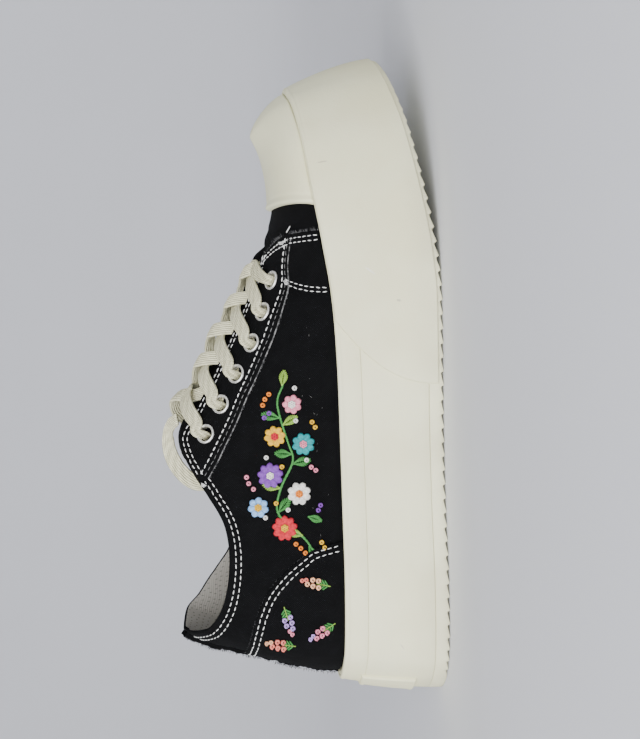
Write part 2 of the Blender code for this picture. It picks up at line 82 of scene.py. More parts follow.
def grid(rows, columns, wrap=False, start=0):
    """Quads between the points of a grid, the last column joined to the first when it wraps."""
    number = start + np.arange(rows * columns).reshape(rows, columns)
    if wrap:
        number = np.column_stack([number, number[:, :1]])
    return np.stack([number[:-1, :-1], number[:-1, 1:], number[1:, 1:], number[1:, :-1]], -1).reshape(-1, 4)


def fill(tree, made, inputs):
    """A node with each of these inputs given a value or another node's output."""
    for key, value in inputs.items():
        if isinstance(value, bpy.types.NodeSocket):
            tree.links.new(value, made.inputs[key])
        else:
            made.inputs[key].default_value = value
    return made


def put(tree, kind, inputs=(), **settings):
    """A new node of one kind with its settings and its inputs filled."""
    made = tree.nodes.new("ShaderNode" + kind)
    for key, value in settings.items():
        setattr(made, key, value)
    return fill(tree, made, dict(inputs))


def new_material(name):
    """A material with one Principled shader, its node tree and that shader."""
    material = bpy.data.materials.new(name)
    material.use_nodes = True
    return material, material.node_tree, material.node_tree.nodes["Principled BSDF"]


def object_place(tree):
    """The point being shaded, in the object's own coordinates."""
    return put(tree, "TexCoord").outputs["Object"]


def noise(tree, place, scale, detail=2.0):
    """The value of a noise of this scale at a place."""
    return put(tree, "TexNoise", {"Vector": place, "Scale": scale, "Detail": detail}).outputs[0]


def mixed(tree, share, first, second):
    """The colour between two colours at a share of the way."""
    return put(tree, "Mix", {0: share, 6: first, 7: second}, data_type="RGBA").outputs[2]


def ramp(tree, value, low, high, to_low=0.0, to_high=1.0):
    """A soft step from one value to another between two limits."""
    sockets = {"Value": value, "From Min": low, "From Max": high, "To Min": to_low, "To Max": to_high}
    return put(tree, "MapRange", sockets, interpolation_type="SMOOTHSTEP").outputs[0]


bend = np.linspace(0, np.pi / 2, 16)[1:]
flat = np.linspace(1, BOWL_FLAT, BOWL_RINGS)
reach = np.concatenate([flat, BOWL_FLAT + BOWL_BEND * np.sin(bend), [BOWL_FLAT + BOWL_BEND]])
rise = np.concatenate([0 * flat, BOWL_BEND * (1 - np.cos(bend)), [BOWL_BEND + BOWL_WALL]])
turn = np.linspace(0, 2 * np.pi, BOWL_SIDES, endpoint=False)
bowl = [np.outer(reach, np.cos(turn)), np.outer(reach, np.sin(turn)), np.outer(rise, 1 + 0 * turn)]
bowl = np.stack(bowl, -1).reshape(-1, 3) + ORIGIN
paper, tree, shader = new_material("studio_paper")
speckle = ramp(tree, noise(tree, object_place(tree), 3.0), 0.3, 0.7)
fill(tree, shader, {"Base Color": mixed(tree, speckle, BOWL_COLOUR, BOWL_FLECK), "Roughness": 0.9})
hub = np.arange(BOWL_SIDES)[None, ::-1]
floor_faces = grid(len(reach), BOWL_SIDES, True).tolist() + hub.tolist()
floor = add_mesh("studio_floor", bowl, floor_faces, [paper])

for name, place, aim, size, power in PANELS:
    lamp = bpy.data.lights.new(name, "AREA")
    lamp.shape, lamp.size, lamp.size_y, lamp.energy = "RECTANGLE", size[0], size[1], power
    stand = bpy.data.objects.new(name, lamp)
    stand.location = Vector(place) * MM
    stand.rotation_euler = (Vector(aim) - Vector(place)).to_track_quat("-Z", "Y").to_euler()
    bpy.context.scene.collection.objects.link(stand)
world = bpy.data.worlds.new("studio_air")
world.use_nodes = True
fill(world.node_tree, world.node_tree.nodes["Background"], {"Color": AIR_COLOUR, "Strength": AIR_POWER})
bpy.context.scene.world = world

lens = bpy.data.cameras.new("camera")
lens.lens, lens.sensor_width = CAMERA_LENS, CAMERA_SENSOR
camera = bpy.data.objects.new("camera", lens)
ahead = (Vector(CAMERA_AIM) - Vector(CAMERA_PLACE)).normalized()
right = ahead.cross(Vector((np.cos(CAMERA_ROLL), 0, -np.sin(CAMERA_ROLL)))).normalized()
turned_to = Matrix((right, right.cross(ahead), -ahead)).transposed()
camera.matrix_world = Matrix.Translation((Vector(CAMERA_PLACE) - Vector(ORIGIN)) * MM) @ turned_to.to_4x4()
bpy.context.scene.collection.objects.link(camera)
bpy.context.scene.camera = camera

# Cream rubber: the compound of the whole sole and the toe cap, vulcanised, matt, faintly mottled and
# yellowed, with a fine moulded grain, dust in the low parts and a few rubbed marks.
CREAM = (0.79, 0.78, 0.54, 1)
CREAM_AGED = (0.74, 0.715, 0.47, 1)
DUST = (0.36, 0.34, 0.29, 1)
# Marks: name, centre, half sizes, tilt in degrees, colour and strength.
MARKS = (
    ("brown_rub", (221.9, -47.0, 45.9), (3.0, 9, 0.5), 82, (0.33, 0.27, 0.19, 1), 0.55),
    ("pale_scratch", (176.9, -52.0, 29.0), (3.6, 9, 0.5), -52, (0.80, 0.79, 0.74, 1), 0.7),
    ("dark_speck", (164.6, -52.0, 17.9), (0.7, 9, 1.3), 15, (0.30, 0.27, 0.22, 1), 0.55),
    ("heel_rub", (22.0, -33.0, 20.0), (2.4, 9, 0.4), -35, (0.42, 0.39, 0.32, 1), 0.4),
    ("inner_rub", (196.0, 51.0, 20.0), (4.0, 9, 0.5), 20, (0.40, 0.36, 0.29, 1), 0.45),
)


def new_group(name, inputs, outputs):
    """An empty shader group with these sockets, and its input and output nodes."""
    group = bpy.data.node_groups.new(name, "ShaderNodeTree")
    for label, kind in inputs:
        group.interface.new_socket(label, in_out="INPUT", socket_type="NodeSocket" + kind)
    for label, kind in outputs:
        group.interface.new_socket(label, in_out="OUTPUT", socket_type="NodeSocket" + kind)
    return group, group.nodes.new("NodeGroupInput"), group.nodes.new("NodeGroupOutput")


def maths(tree, operation, *values):
    """The result of one sum on one or two values."""
    return put(tree, "Math", dict(enumerate(values)), operation=operation).outputs[0]


# Grain: cloudy mottling from two noises, dust that settles low and in patches, and a fine height for bump.
grain, here, there = new_group(
    "rubber_grain",
    [("Place", "Vector"), ("Fresh", "Color"), ("Aged", "Color"), ("Dust", "Color"), ("Dust Height", "Float")],
    [("Color", "Color"), ("Height", "Float"), ("Roughness", "Float")],
)
place = here.outputs["Place"]
cloud = noise(grain, place, 22.0, 3.0)
fleck = noise(grain, place, 260.0)
pores = noise(grain, place, 2200.0, 1.0)
tone = mixed(grain, ramp(grain, cloud, 0.38, 0.72), here.outputs["Fresh"], here.outputs["Aged"])
tone = mixed(grain, ramp(grain, fleck, 0.62, 0.80, 0.0, 0.35), tone, here.outputs["Aged"])
low = put(grain, "SeparateXYZ", {0: place}).outputs[2]
settled = maths(grain, "DIVIDE", low, here.outputs["Dust Height"])
patchy = ramp(grain, cloud, 0.35, 0.65, 0.25, 1.0)
settled = maths(grain, "MULTIPLY", ramp(grain, settled, 1.0, 0.0, 0.0, 0.34), patchy)
fill(grain, there, {
    "Color": mixed(grain, settled, tone, here.outputs["Dust"]),
    "Height": maths(grain, "ADD", fleck, pores),
    "Roughness": ramp(grain, cloud, 0.3, 0.7, 0.50, 0.62),
})

# Mark: how much of one rubbed streak covers a point of its own turned and stretched frame, broken by noise.
mark, here, there = new_group("rub_mark", [("Place", "Vector"), ("Strength", "Float")], [("Mask", "Float")])
away = put(mark, "VectorMath", {0: here.outputs["Place"]}, operation="LENGTH").outputs["Value"]
edge = maths(mark, "ADD", away, noise(mark, here.outputs["Place"], 3.0))
fill(mark, there, {"Mask": maths(mark, "MULTIPLY", ramp(mark, edge, 1.45, 0.85), here.outputs["Strength"])})


def rubber(name, dust_height, marked=()):
    """Cream rubber, dusty up to a height, with the named rub marks on it."""
    material, tree, shader = new_material(name)
    place = object_place(tree)
    sockets = {"Place": place, "Fresh": CREAM, "Aged": CREAM_AGED, "Dust": DUST}
    made = put(tree, "Group", sockets | {"Dust Height": dust_height * MM}, node_tree=grain)
    colour = made.outputs["Color"]
    for label, centre, size, tilt, tint, strength in MARKS:
        if label in marked:
            streak = {"Vector": place, "Location": (np.array(centre) - ORIGIN) * MM}
            streak |= {"Rotation": (0, np.radians(tilt), 0), "Scale": np.array(size) * MM}
            own_place = put(tree, "Mapping", streak, vector_type="TEXTURE").outputs[0]
            rub = put(tree, "Group", {"Place": own_place, "Strength": strength}, node_tree=mark)
            colour = mixed(tree, rub.outputs[0], colour, tint)
    bump = put(tree, "Bump", {"Height": made.outputs["Height"], "Strength": 0.18, "Distance": 0.0004})
    looks = {"Base Color": colour, "Roughness": made.outputs["Roughness"], "Normal": bump.outputs[0]}
    fill(tree, shader, looks | {"Specular IOR Level": 0.35})
    return material


# Outsole: the rubber tread under the platform, moulded with wavy bars and a saw-toothed rim that shows along
# the side, cemented to the midsole.
HEEL_BACK, TOE_TIP = (-2.5, -1), (272.5, 8)
HEEL_RAKE, SIDE_RAKE, TOE_RAKE, RAKE_CURVE = 6.5, 3.0, 13.0, 1.6
OUTSOLE_HIGH, TREAD_BORDER, TEETH, TOOTH_DEEP = 6.0, 9.0, 46, 1.25
TEETH_FROM, TEETH_TO, TEETH_FADE = 0.07, 0.90, 0.22
BAR_PITCH, BAR_WAVE, BAR_WAVE_LONG, BAR_DEEP = 7.5, 2.4, 19.0, 1.0


def table(columns, *rows):
    """Columns of numbers by their names, from rows."""
    return dict(zip(columns.split(), np.array(rows, float).T))


OUTLINE = table(
    "station lateral medial",
    (12, -28, 26),
    (45, -38, 35.5),
    (80, -38.5, 35),
    (115, -42, 36.5),
    (150, -49, 43.5),
    (185, -52, 49),
    (215, -48.5, 49),
    (242, -38, 43),
    (262, -21, 30),
)
SOLE = table(
    "station bottom top",
    (0, 0, 44),
    (40, 0, 43),
    (100, 0, 42.5),
    (140, 0, 43),
    (167, 0, 44.5),
    (190, 1.9, 47.5),
    (215, 5.7, 51),
    (240, 10, 53.7),
    (260, 14.5, 56.3),
    (275, 18, 58),
)


def smooth(rows, column, station):
    """A cubic curve through one column of a table, read at these stations."""
    x, y = rows["station"], rows[column]
    slope = np.gradient(y, x)
    at = np.clip(np.asarray(station, float), x[0], x[-1])
    i = np.clip(np.searchsorted(x, at) - 1, 0, len(x) - 2)
    step = x[i + 1] - x[i]
    f = (at - x[i]) / step
    level = (1 + 2 * f) * (1 - f) ** 2 * y[i] + f * f * (3 - 2 * f) * y[i + 1]
    return level + step * f * (1 - f) * ((1 - f) * slope[i] - f * slope[i + 1])


def travelled(points, axis=0):
    """Distance travelled along one axis of a row or grid of points."""
    step = np.diff(points, axis=axis, prepend=np.take(points, [0], axis))
    return np.cumsum(np.linalg.norm(step, axis=-1), axis)


def unit(vectors, least=0.0):
    """Vectors made one long."""
    return vectors / (np.linalg.norm(vectors, axis=-1, keepdims=True) + least)


def closed_outline(steps=40):
    """A closed cubic curve through the outline table, as points with their u: 0 at the heel, along the
    lateral side to 1 at the toe, and back along the medial side to 2."""
    lateral = np.column_stack([OUTLINE["station"], OUTLINE["lateral"]])
    medial = np.column_stack([OUTLINE["station"], OUTLINE["medial"]])[::-1]
    p1 = np.vstack([[HEEL_BACK], lateral, [TOE_TIP], medial])
    p0, p2, p3 = np.roll(p1, 1, 0), np.roll(p1, -1, 0), np.roll(p1, -2, 0)
    d0, d1, d2 = (np.linalg.norm(b - a, axis=1)[:, None] for a, b in ((p0, p1), (p1, p2), (p2, p3)))
    leave = d1 * ((p1 - p0) / d0 - (p2 - p0) / (d0 + d1)) + p2 - p1
    arrive = d1 * ((p3 - p2) / d2 - (p3 - p1) / (d1 + d2)) + p2 - p1
    f = np.linspace(0, 1, steps, endpoint=False)[None, :, None]
    p1, p2, leave, arrive = p1[:, None], p2[:, None], leave[:, None], arrive[:, None]
    curve = (1 + 2 * f) * (1 - f) ** 2 * p1 + f * f * (3 - 2 * f) * p2
    curve = (curve + f * (1 - f) * ((1 - f) * leave - f * arrive)).reshape(-1, 2)
    toe = (len(lateral) + 1) * steps
    length = travelled(np.vstack([curve, curve[:1]]))
    back = 1 + (length - length[toe]) / (length[-1] - length[toe])
    return np.where(length <= length[toe], length / length[toe], back)[:-1], curve


RING_U, RING = closed_outline()


def floor_point(u):
    """x and y of the outline on the floor."""
    return np.stack([np.interp(np.mod(u, 2), RING_U, RING[:, k], period=2) for k in (0, 1)], -1)


def outline(u, rise, inset):
    """The sole's side at a share of its height: the floor outline drawn in by the rake, and by an inset."""
    along = floor_point(u + 0.004) - floor_point(u - 0.004)
    out = unit(np.stack([along[..., 1], -along[..., 0]], -1))
    front, back = np.clip(out[..., 0], 0, 1) ** 2, np.clip(-out[..., 0], 0, 1) ** 2
    rake = SIDE_RAKE + (TOE_RAKE - SIDE_RAKE) * front + (HEEL_RAKE - SIDE_RAKE) * back
    return floor_point(u) - out * (rake * rise**RAKE_CURVE + inset)[..., None]


def sole_levels(u):
    """Heights of the sole's underside and top edge at this part of its outline."""
    station = floor_point(u)[..., 0]
    return np.maximum(smooth(SOLE, "bottom", station), 0.0), smooth(SOLE, "top", station)


def side_wall(u, inset, from_bottom=None, from_top=None):
    """A point of the sole's side at a height over its underside or under its top edge."""
    u, inset = np.broadcast_arrays(np.asarray(u, float), inset)
    low, high = sole_levels(u)
    height = low + from_bottom if from_top is None else high - from_top
    rise = np.clip((height - low) / (high - low), 0, 1)
    return np.concatenate([outline(u, rise, inset), height[..., None]], -1)


def welded(points, faces):
    """Points that coincide made one, and the faces that collapse dropped or left as triangles, with each kept
    face's old number and each kept point's."""
    _, first, index = np.unique(np.round(points, 3), axis=0, return_index=True, return_inverse=True)
    corners = [list(dict.fromkeys(face)) for face in index.reshape(-1)[np.asarray(faces)].tolist()]
    kept = [k for k, face in enumerate(corners) if len(face) > 2]
    return points[first], [corners[k] for k in kept], np.array(kept), first


def straight_across(count, start, over):
    """Quads that fill a ring of points from the lateral side straight across to the medial side."""
    here = np.arange(count // 2)
    mate = lambda c: np.mod(count - c, count)
    ring = [here, here + 1, mate(here + 1), mate(here)]
    return np.stack(ring if over else ring[::-1], -1) + start


def both_sides(shares):
    """u all round the shoe for these shares of each side, heel and toe once."""
    return np.concatenate([shares, 2 - shares[-2:0:-1]])


def layered(levels):
    """Points and faces of a solid from closed rings, each above or inside the last, both end rings filled."""
    count = len(levels[0])
    ends = [straight_across(count, 0, False), straight_across(count, count * (len(levels) - 1), True)]
    return np.concatenate(levels), np.concatenate([grid(len(levels), count, True), *ends])


tooth = (TEETH_TO - TEETH_FROM) / TEETH
bite = np.array([0.0, 0.12, 0.32, 0.52, 0.70, 0.84, 0.90, 0.96])
depth = np.array([0.0, 0.14, 0.38, 0.62, 0.86, 1.0, 0.75, 0.22])
cut_shares = (TEETH_FROM + tooth * (np.arange(TEETH)[:, None] + bite)).ravel()
fade = np.clip((TEETH_TO - cut_shares) / TEETH_FADE, 0, 1)
fade = fade * np.clip((cut_shares - TEETH_FROM + 0.02) / 0.04, 0, 1)
heel_shares, toe_shares = np.linspace(0, TEETH_FROM, 24, endpoint=False), np.linspace(TEETH_TO, 1, 40)
shares = np.concatenate([heel_shares, cut_shares, toe_shares])
notch = np.concatenate([0 * heel_shares, np.tile(depth, TEETH) * TOOTH_DEEP * fade, 0 * toe_shares])
ring, ring_notch = both_sides(shares), np.concatenate([notch, notch[-2:0:-1]])
# Rim: inset, share of the notch's depth, and height, from the tread's border up to the midsole.
rim = [(TREAD_BORDER, 0.0, 0.0), (1.6, 0.75, 0.0), (0.35, 1.0, 0.03), (0.0, 1.0, 0.35), (0.0, 0.3, 2.6)]
rim += [(0.0, 0.0, OUTSOLE_HIGH - 0.30), (0.12, 0.0, OUTSOLE_HIGH - 0.05), (0.5, 0.0, OUTSOLE_HIGH + 0.05)]
levels = [side_wall(ring, inset, from_bottom=ring_notch * part + height) for inset, part, height in rim]
rim_faces = grid(len(levels), len(ring), True)
top_faces = straight_across(len(ring), (len(levels) - 1) * len(ring), True)
near = side_wall(shares, TREAD_BORDER, from_bottom=0.0)[:, None]
far = side_wall(2 - shares, TREAD_BORDER, from_bottom=0.0)[:, None]
span = np.linspace(0, 1, 29)[None, :, None]
field = near + (far - near) * span
bent = field[..., 0] + BAR_WAVE * np.sin(2 * np.pi * field[..., 1] / BAR_WAVE_LONG)
wave = np.sin(2 * np.pi * bent / BAR_PITCH)
inside = np.clip(6 * span[..., 0] * (1 - span[..., 0]), 0, 1)
inside = inside * np.clip(60 * shares * (1 - shares), 0, 1)[:, None]
field[..., 2] += BAR_DEEP * inside * np.clip(0.5 + 1.6 * wave, 0, 1)
points = np.concatenate([*levels, field.reshape(-1, 3)])
faces = np.concatenate([rim_faces, top_faces, grid(*field.shape[:2], start=len(levels) * len(ring))[:, ::-1]])
points, faces, _, _ = welded(points, faces)
outsole = add_mesh("outsole_tread", points, faces, [rubber("outsole_rubber", 16.0, ("dark_speck",))])
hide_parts("outsole")
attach(outsole, "root")

# Midsole: the tall moulded platform of the same rubber, flat-sided and raked, with a cup in its top that the
# upper is lasted into and cemented.
FOXING_HIGH, LIP, CUP_DEEP = 9.4, 3.4, 10.0
FOXING_THICK = 1.4
foot_low = OUTSOLE_HIGH + 0.1
ring = both_sides(np.linspace(0, 1, 231))
low, high = sole_levels(ring)
wall_top = high - low - FOXING_HIGH
# Inset and height over the underside up the wall, then inset and depth under the top edge into the cup.
wall = [(0.5, foot_low), (0.10, foot_low + 0.06)]
wall += [(0.0, foot_low + 0.3 + (wall_top - foot_low - 0.6) * f) for f in np.linspace(0, 1, 9)]
wall += [(0.12, wall_top - 0.06), (0.6, wall_top), (FOXING_THICK + 0.1, wall_top)]
cup = [(FOXING_THICK + 0.1, 0.35), (FOXING_THICK + 0.35, 0.12), (LIP - 0.4, 0.10), (LIP, 0.4)]
levels = [side_wall(ring, inset, from_bottom=height) for inset, height in wall]
levels += [side_wall(ring, inset, from_top=down) for inset, down in cup]
levels.append(levels[-1] - (0, 0, CUP_DEEP - 0.4))
points, faces, _, _ = welded(*layered(levels))
all_marks = ("brown_rub", "pale_scratch", "dark_speck", "heel_rub", "inner_rub")
midsole = add_mesh("midsole_platform", points, faces, [rubber("midsole_rubber", 20.0, all_marks)])
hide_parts("midsole")
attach(midsole, "root")

# Foxing: the strip of rubber wrapped and vulcanised round the top of the platform, its soft upper edge
# standing as a thin lip. Its section is given as inset and depth under the top edge.
band = [(0.5, FOXING_HIGH), (0.10, FOXING_HIGH - 0.06), (0.0, FOXING_HIGH - 0.3), (0.0, 6.0), (-0.02, 2.6)]
band += [(0.10, 2.0), (-0.12, 1.5), (-0.22, 0.9), (-0.12, 0.3), (0.25, -0.12), (0.8, -0.2)]
band += [(FOXING_THICK - 0.1, -0.05), (FOXING_THICK, 0.4), (FOXING_THICK, FOXING_HIGH)]
tube = np.stack([side_wall(ring, inset, from_top=down) for inset, down in band + band[:1]])
points, faces, _, _ = welded(tube.reshape(-1, 3), grid(len(tube), len(ring), True))
foxing = add_mesh("foxing_strip", points, faces, [rubber("foxing_rubber", 14.0)])
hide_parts("foxing")
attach(foxing, "root")

# Toe bumper: a second layer of rubber cemented round the front of the sole, its rear edge cut in a long curve
# and rolled down, so only a faint ridge shows.
LIP_GAP = 0.3
BUMPER_REAR, BUMPER_SWEEP, BUMPER_LOW, BUMPER_PROUD = 129.5, 26.0, 2.2, 1.15


def middle_station(u):
    """Station halfway between a column's foot and that of its mate on the other side."""
    inset = np.full(np.shape(u), LIP)
    return (outline(u, 1.0, inset)[..., 0] + outline(2 - u, 1.0, inset)[..., 0]) / 2


SHARES = np.linspace(0, 1, 801)
SHARE_STATIONS = middle_station(SHARES)


def at_station(station, side):
    """u of the column at a station on the lateral (-1) or medial (+1) side."""
    share = np.interp(station, SHARE_STATIONS, SHARES)
    return np.where(np.asarray(side) < 0, share, 2 - share)


def close_to_ends(count, tight):
    """Even steps from 0 to 1, drawn together towards both ends."""
    f = np.linspace(0, 1, count)
    return f - tight * np.sin(2 * np.pi * f) / (2 * np.pi)


def from_edges(points):
    """Distance of each point of a grid from its first and last column, and from its first and last row."""
    along, up = travelled(points, 1), travelled(points, 0)
    return along, along[:, -1:] - along, up, up[-1:] - up


def rolled(distance, radius):
    """Share of the full height at a distance from an edge that is rounded by a quarter circle."""
    return np.sqrt(1 - (1 - np.clip(distance / radius, 0, 1)) ** 2)


def bell(x, middle, wide):
    """A soft bump of height 1 about a middle: exp(-((x - middle) / wide) ** 2)."""
    return np.exp(-(((x - middle) / wide) ** 2))


def slab(outer, inner, top_open=True):
    """Points and faces of a wall between two grids, closed along every free edge."""
    rows, columns = outer.shape[:2]
    count = rows * columns
    number = np.arange(count).reshape(rows, columns)
    faces = [grid(rows, columns), grid(rows, columns, start=count)[:, [0, 3, 2, 1]]]
    rims = [number[0, ::-1], number[:, 0], number[::-1, -1]] + ([number[-1]] if top_open else [])
    for rim in rims:
        faces.append(np.stack([rim[:-1], rim[:-1] + count, rim[1:] + count, rim[1:]], -1)[:, ::-1])
    return np.concatenate([outer.reshape(-1, 3), inner.reshape(-1, 3)]), np.concatenate(faces)


rise = close_to_ends(44, 0.9)[:, None]
sweep = 2 * close_to_ends(260, 0.55)[None, :] - 1
rear_u = np.interp(BUMPER_REAR + BUMPER_SWEEP * rise**2.2, SHARE_STATIONS, SHARES)
bumper_u = 1 + (1 - rear_u) * sweep
low, high = sole_levels(bumper_u)
height = BUMPER_LOW + (high - low - 0.05 - BUMPER_LOW) * rise
base = side_wall(bumper_u, -0.5, from_bottom=height)
near, far, under, over = from_edges(base)
proud = BUMPER_PROUD * rolled(np.minimum(near, far), 1.6) * rolled(under, 0.6) * rolled(over, 0.9)
proud -= 0.22 * bell(over, 1.9, 0.35)
outer = side_wall(bumper_u, 0.06 - proud - 0.06 * (proud > 0), from_bottom=height)
inner = side_wall(bumper_u, 0.10, from_bottom=height)
points, faces, _, _ = welded(*slab(outer, inner))
bumper = add_mesh("toe_bumper_layer", points, faces, [rubber("bumper_rubber", 18.0, all_marks)])
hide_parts("toe_bumper")
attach(bumper, "root")

# Heel tab: a plain blank plate of the same rubber, moulded with a shallow border and cemented to the back of
# the platform.
TAB_LOW, TAB_HIGH, TAB_HALF_WIDE, TAB_PROUD = 13.0, 36.0, 21.0, 1.5
U_LONG = 320.0
height = (TAB_LOW + (TAB_HIGH - TAB_LOW) * close_to_ends(30, 0.9))[:, None]
tab_u = (2 * close_to_ends(50, 0.9)[None, :] - 1) * TAB_HALF_WIDE / U_LONG
height, tab_u = np.broadcast_arrays(height, tab_u)
near, far, under, over = from_edges(side_wall(tab_u, 0.0, from_bottom=height))
edge = np.minimum(np.minimum(near, far), np.minimum(under, over))
panel = 0.25 * np.clip((edge - 1.6) / 0.5, 0, 1)
outer = side_wall(tab_u, 0.05 - TAB_PROUD * rolled(edge, 0.8) + panel, from_bottom=height)
points, faces, _, _ = welded(*slab(outer, side_wall(tab_u, 0.1, from_bottom=height)))
tab = add_mesh("heel_tab", points, faces, [rubber("heel_tab_rubber", 18.0)])
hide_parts("heel_plate")
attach(tab, "root")

# Upper: black cotton canvas, one wall lasted over the foot form and turned in at the collar, lined with pale
# dotted cloth, with the soft folds that wear has left.
WALL = 1.6
HEEL_RIDGE, TOE_RIDGE = 89.0, 241.3
RIDGE = table(
    "station height side peak flank",
    (60, 150, -1, 2.9, 2),
    (89, 134, -1, 2.9, 2),
    (100, 125, -1.5, 2.4, 2),
    (112, 116, -2, 1.9, 1.9),
    (124, 107.5, -2, 1.7, 1.8),
    (138, 98.8, -2, 1.5, 1.7),
    (160, 86.8, -1, 1.25, 1.5),
    (176, 77.5, 0, 1.15, 1.4),
    (190, 70.5, 0.5, 1.25, 1.5),
    (199, 67, 1, 1.5, 1.7),
    (207.9, 64.6, 1.6, 1.8, 1.9),
    (217.4, 64.1, 2.6, 2.0, 1.9),
    (226.6, 65, 3.8, 2.0, 1.8),
    (235.2, 67.2, 5, 1.7, 1.5),
    (241.3, 70, 6, 1.38, 1.27),
)
COLLAR = table(
    "station lateral medial",
    (5, 110.6, 110.6),
    (11.3, 106.2, 110.2),
    (19.6, 100, 108.6),
    (30, 94.6, 103.4),
    (40, 91.5, 98.7),
    (50, 89.9, 93),
    (57, 89.4, 89.2),
    (64, 89.6, 87.6),
    (72, 91.1, 89.4),
    (83.9, 97.2, 95.6),
    (94, 103.2, 101.6),
    (103, 107, 105.6),
    (108, 107.8, 106.4),
    (112, 107.2, 106.6),
)
COLLAR_END, THROAT_BLEND = 107.0, 10.0
THROAT = table(
    "station gap",
    (112, 14),
    (125, 13.5),
    (140, 13),
    (170, 11.5),
    (184, 10),
    (190, 8.5),
    (193.5, 5),
    (195.5, 0),
)
EYELETS = table(
    "station height",
    (174.4, 66.3),
    (161.3, 70.7),
    (148.6, 76),
    (136, 83),
    (123.4, 90),
    (110.8, 96.9),
)
VENTS = table("station above_lip", (88, 15), (106, 11))
HOLE, HOLE_REACH = 3.3, 7.0
HEEL_PRESS_LONG, HEEL_PRESS_DEEP = 0.085, 4.0
SIDES = ((-1, "lateral"), (1, "medial"))
# Folds: from one point to another in station and height, how deep, how wide, and on which side (0 for both).
FOLDS = table(
    "from_x from_z to_x to_z deep wide side",
    (120, 68, 136, 52, 0.5, 5.0, -1),
    (99, 86, 113, 62, 0.45, 5.5, -1),
    (66, 80, 86, 58, 0.45, 6.0, -1),
    (150, 64, 165, 49, 0.4, 4.5, -1),
    (110, 74, 132, 54, 0.55, 5.5, 1),
    (72, 82, 92, 60, 0.5, 6.0, 1),
    (145, 66, 160, 50, 0.5, 4.5, 1),
    (201, 53, 199, 69, 0.45, 1.8, 0),
    (195, 52, 197.5, 60, 0.35, 2.0, 0),
    (9, 104, 22, 88, 0.5, 5.0, 0),
)


def soft(x, width):
    """x above 0 and nothing below it, with a soft bend between: width * log(1 + exp(x / width))."""
    return width * np.logaddexp(0, x / width)


def column(u):
    """Foot, ridge and powers of one column of the last: x, y and height at the lip, the same at the ridge,
    and the two powers of its section, (reach / width) ** peak + (height / ridge) ** flank = 1."""
    u = np.asarray(u, float)
    foot = outline(u, 1.0, np.full(u.shape, LIP + LIP_GAP))
    low = sole_levels(u)[1]
    station = HEEL_RIDGE + soft(middle_station(u) - HEEL_RIDGE, 14.0)
    station = TOE_RIDGE - soft(TOE_RIDGE - station, 1.8)
    high, side, peak, flank = (smooth(RIDGE, k, station) for k in ("height", "side", "peak", "flank"))
    return foot[..., 0], foot[..., 1], low, station, side, high, peak, flank


def last(u, phi):
    """A point of the last: phi climbs a column from the lip of the sole (0) to the ridge over the foot
    (pi / 2). The back of the heel is pressed in by up to 5 mm: a bell along the outline, deepened by a bell
    up the column."""
    x, y, low, ridge_x, ridge_y, high, peak, flank = column(u)
    left = np.clip(np.cos(phi), 0, 1) ** (2 / peak)
    up = np.sin(phi) ** (2 / flank)
    beside = np.abs(np.mod(u + 1, 2) - 1)
    pressed = bell(beside, 0.0, HEEL_PRESS_LONG) * (1 + HEEL_PRESS_DEEP * bell(up, 0.40, 0.24))
    x = ridge_x + (x - ridge_x) * left + pressed
    return np.stack([x, ridge_y + (y - ridge_y) * left, low + (high - low) * up], -1)


def facing(u, phi):
    """Unit vector out of the last, the mean of both sides on the ridge."""

    def one_side(u, phi):
        phi = np.clip(phi, 0.06, np.pi / 2 - 0.06)
        along = last(u + 0.002, phi) - last(u - 0.002, phi)
        return unit(np.cross(along, last(u, phi + 0.03) - last(u, phi - 0.03)))

    near = np.clip((phi - (np.pi / 2 - 0.12)) / 0.12, 0, 1)[..., None]
    return unit(one_side(u, phi) * (1 - near / 2) + one_side(2 - u, phi) * near / 2)


def folds(place):
    """How far the folds move the canvas in or out: each is a trough along its line between low ridges."""
    moved = np.zeros(place.shape[:-1])
    for x0, z0, x1, z1, deep, wide, side in zip(*FOLDS.values()):
        way = np.array([x1 - x0, z1 - z0])
        off = place[..., [0, 2]] - (x0, z0)
        f = np.clip(off @ way / (way @ way), 0, 1)
        away = np.sum((off - f[..., None] * way) ** 2, -1) / wide**2
        here = 1.0 if side == 0 else 1 / (1 + np.exp(-side * place[..., 1] / 2))
        moved -= deep * here * np.sin(np.pi * (0.15 + 0.7 * f)) * (1 - 0.8 * away) * np.exp(-away)
    return moved


def skin(u, phi, lift):
    """A point at a height over the last and its folds, or under it when lift is negative."""
    u, phi, lift = np.broadcast_arrays(np.asarray(u, float), np.asarray(phi, float), np.asarray(lift, float))
    place = last(u, phi)
    return place + facing(u, phi) * (lift + folds(place))[..., None]


def phi_at_height(u, height):
    """phi where a column reaches a height."""
    _, _, low, _, _, high, _, flank = column(u)
    return np.arcsin(np.clip((height - low) / (high - low), 0, 1) ** (flank / 2))


def phi_at_reach(u, reach):
    """phi where a column is at a distance from the ridge."""
    _, y, _, _, ridge_y, _, peak, _ = column(u)
    return np.arccos(np.clip(np.abs(reach) / np.abs(y - ridge_y), 0, 1) ** (peak / 2))


def over_lip(u, above):
    """phi at a height over the lip of the sole."""
    return phi_at_height(u, column(u)[2] + above)


def top_edge(u):
    """phi of the upper's top edge: the collar, then the throat, then the closed vamp."""
    station = middle_station(u)
    height = np.where(np.mod(u, 2) < 1, smooth(COLLAR, "lateral", station), smooth(COLLAR, "medial", station))
    throat = phi_at_reach(u, smooth(THROAT, "gap", station))
    blend = np.clip((station - COLLAR_END) / THROAT_BLEND, 0, 1)
    return phi_at_height(u, height) * (1 - blend) + throat * blend


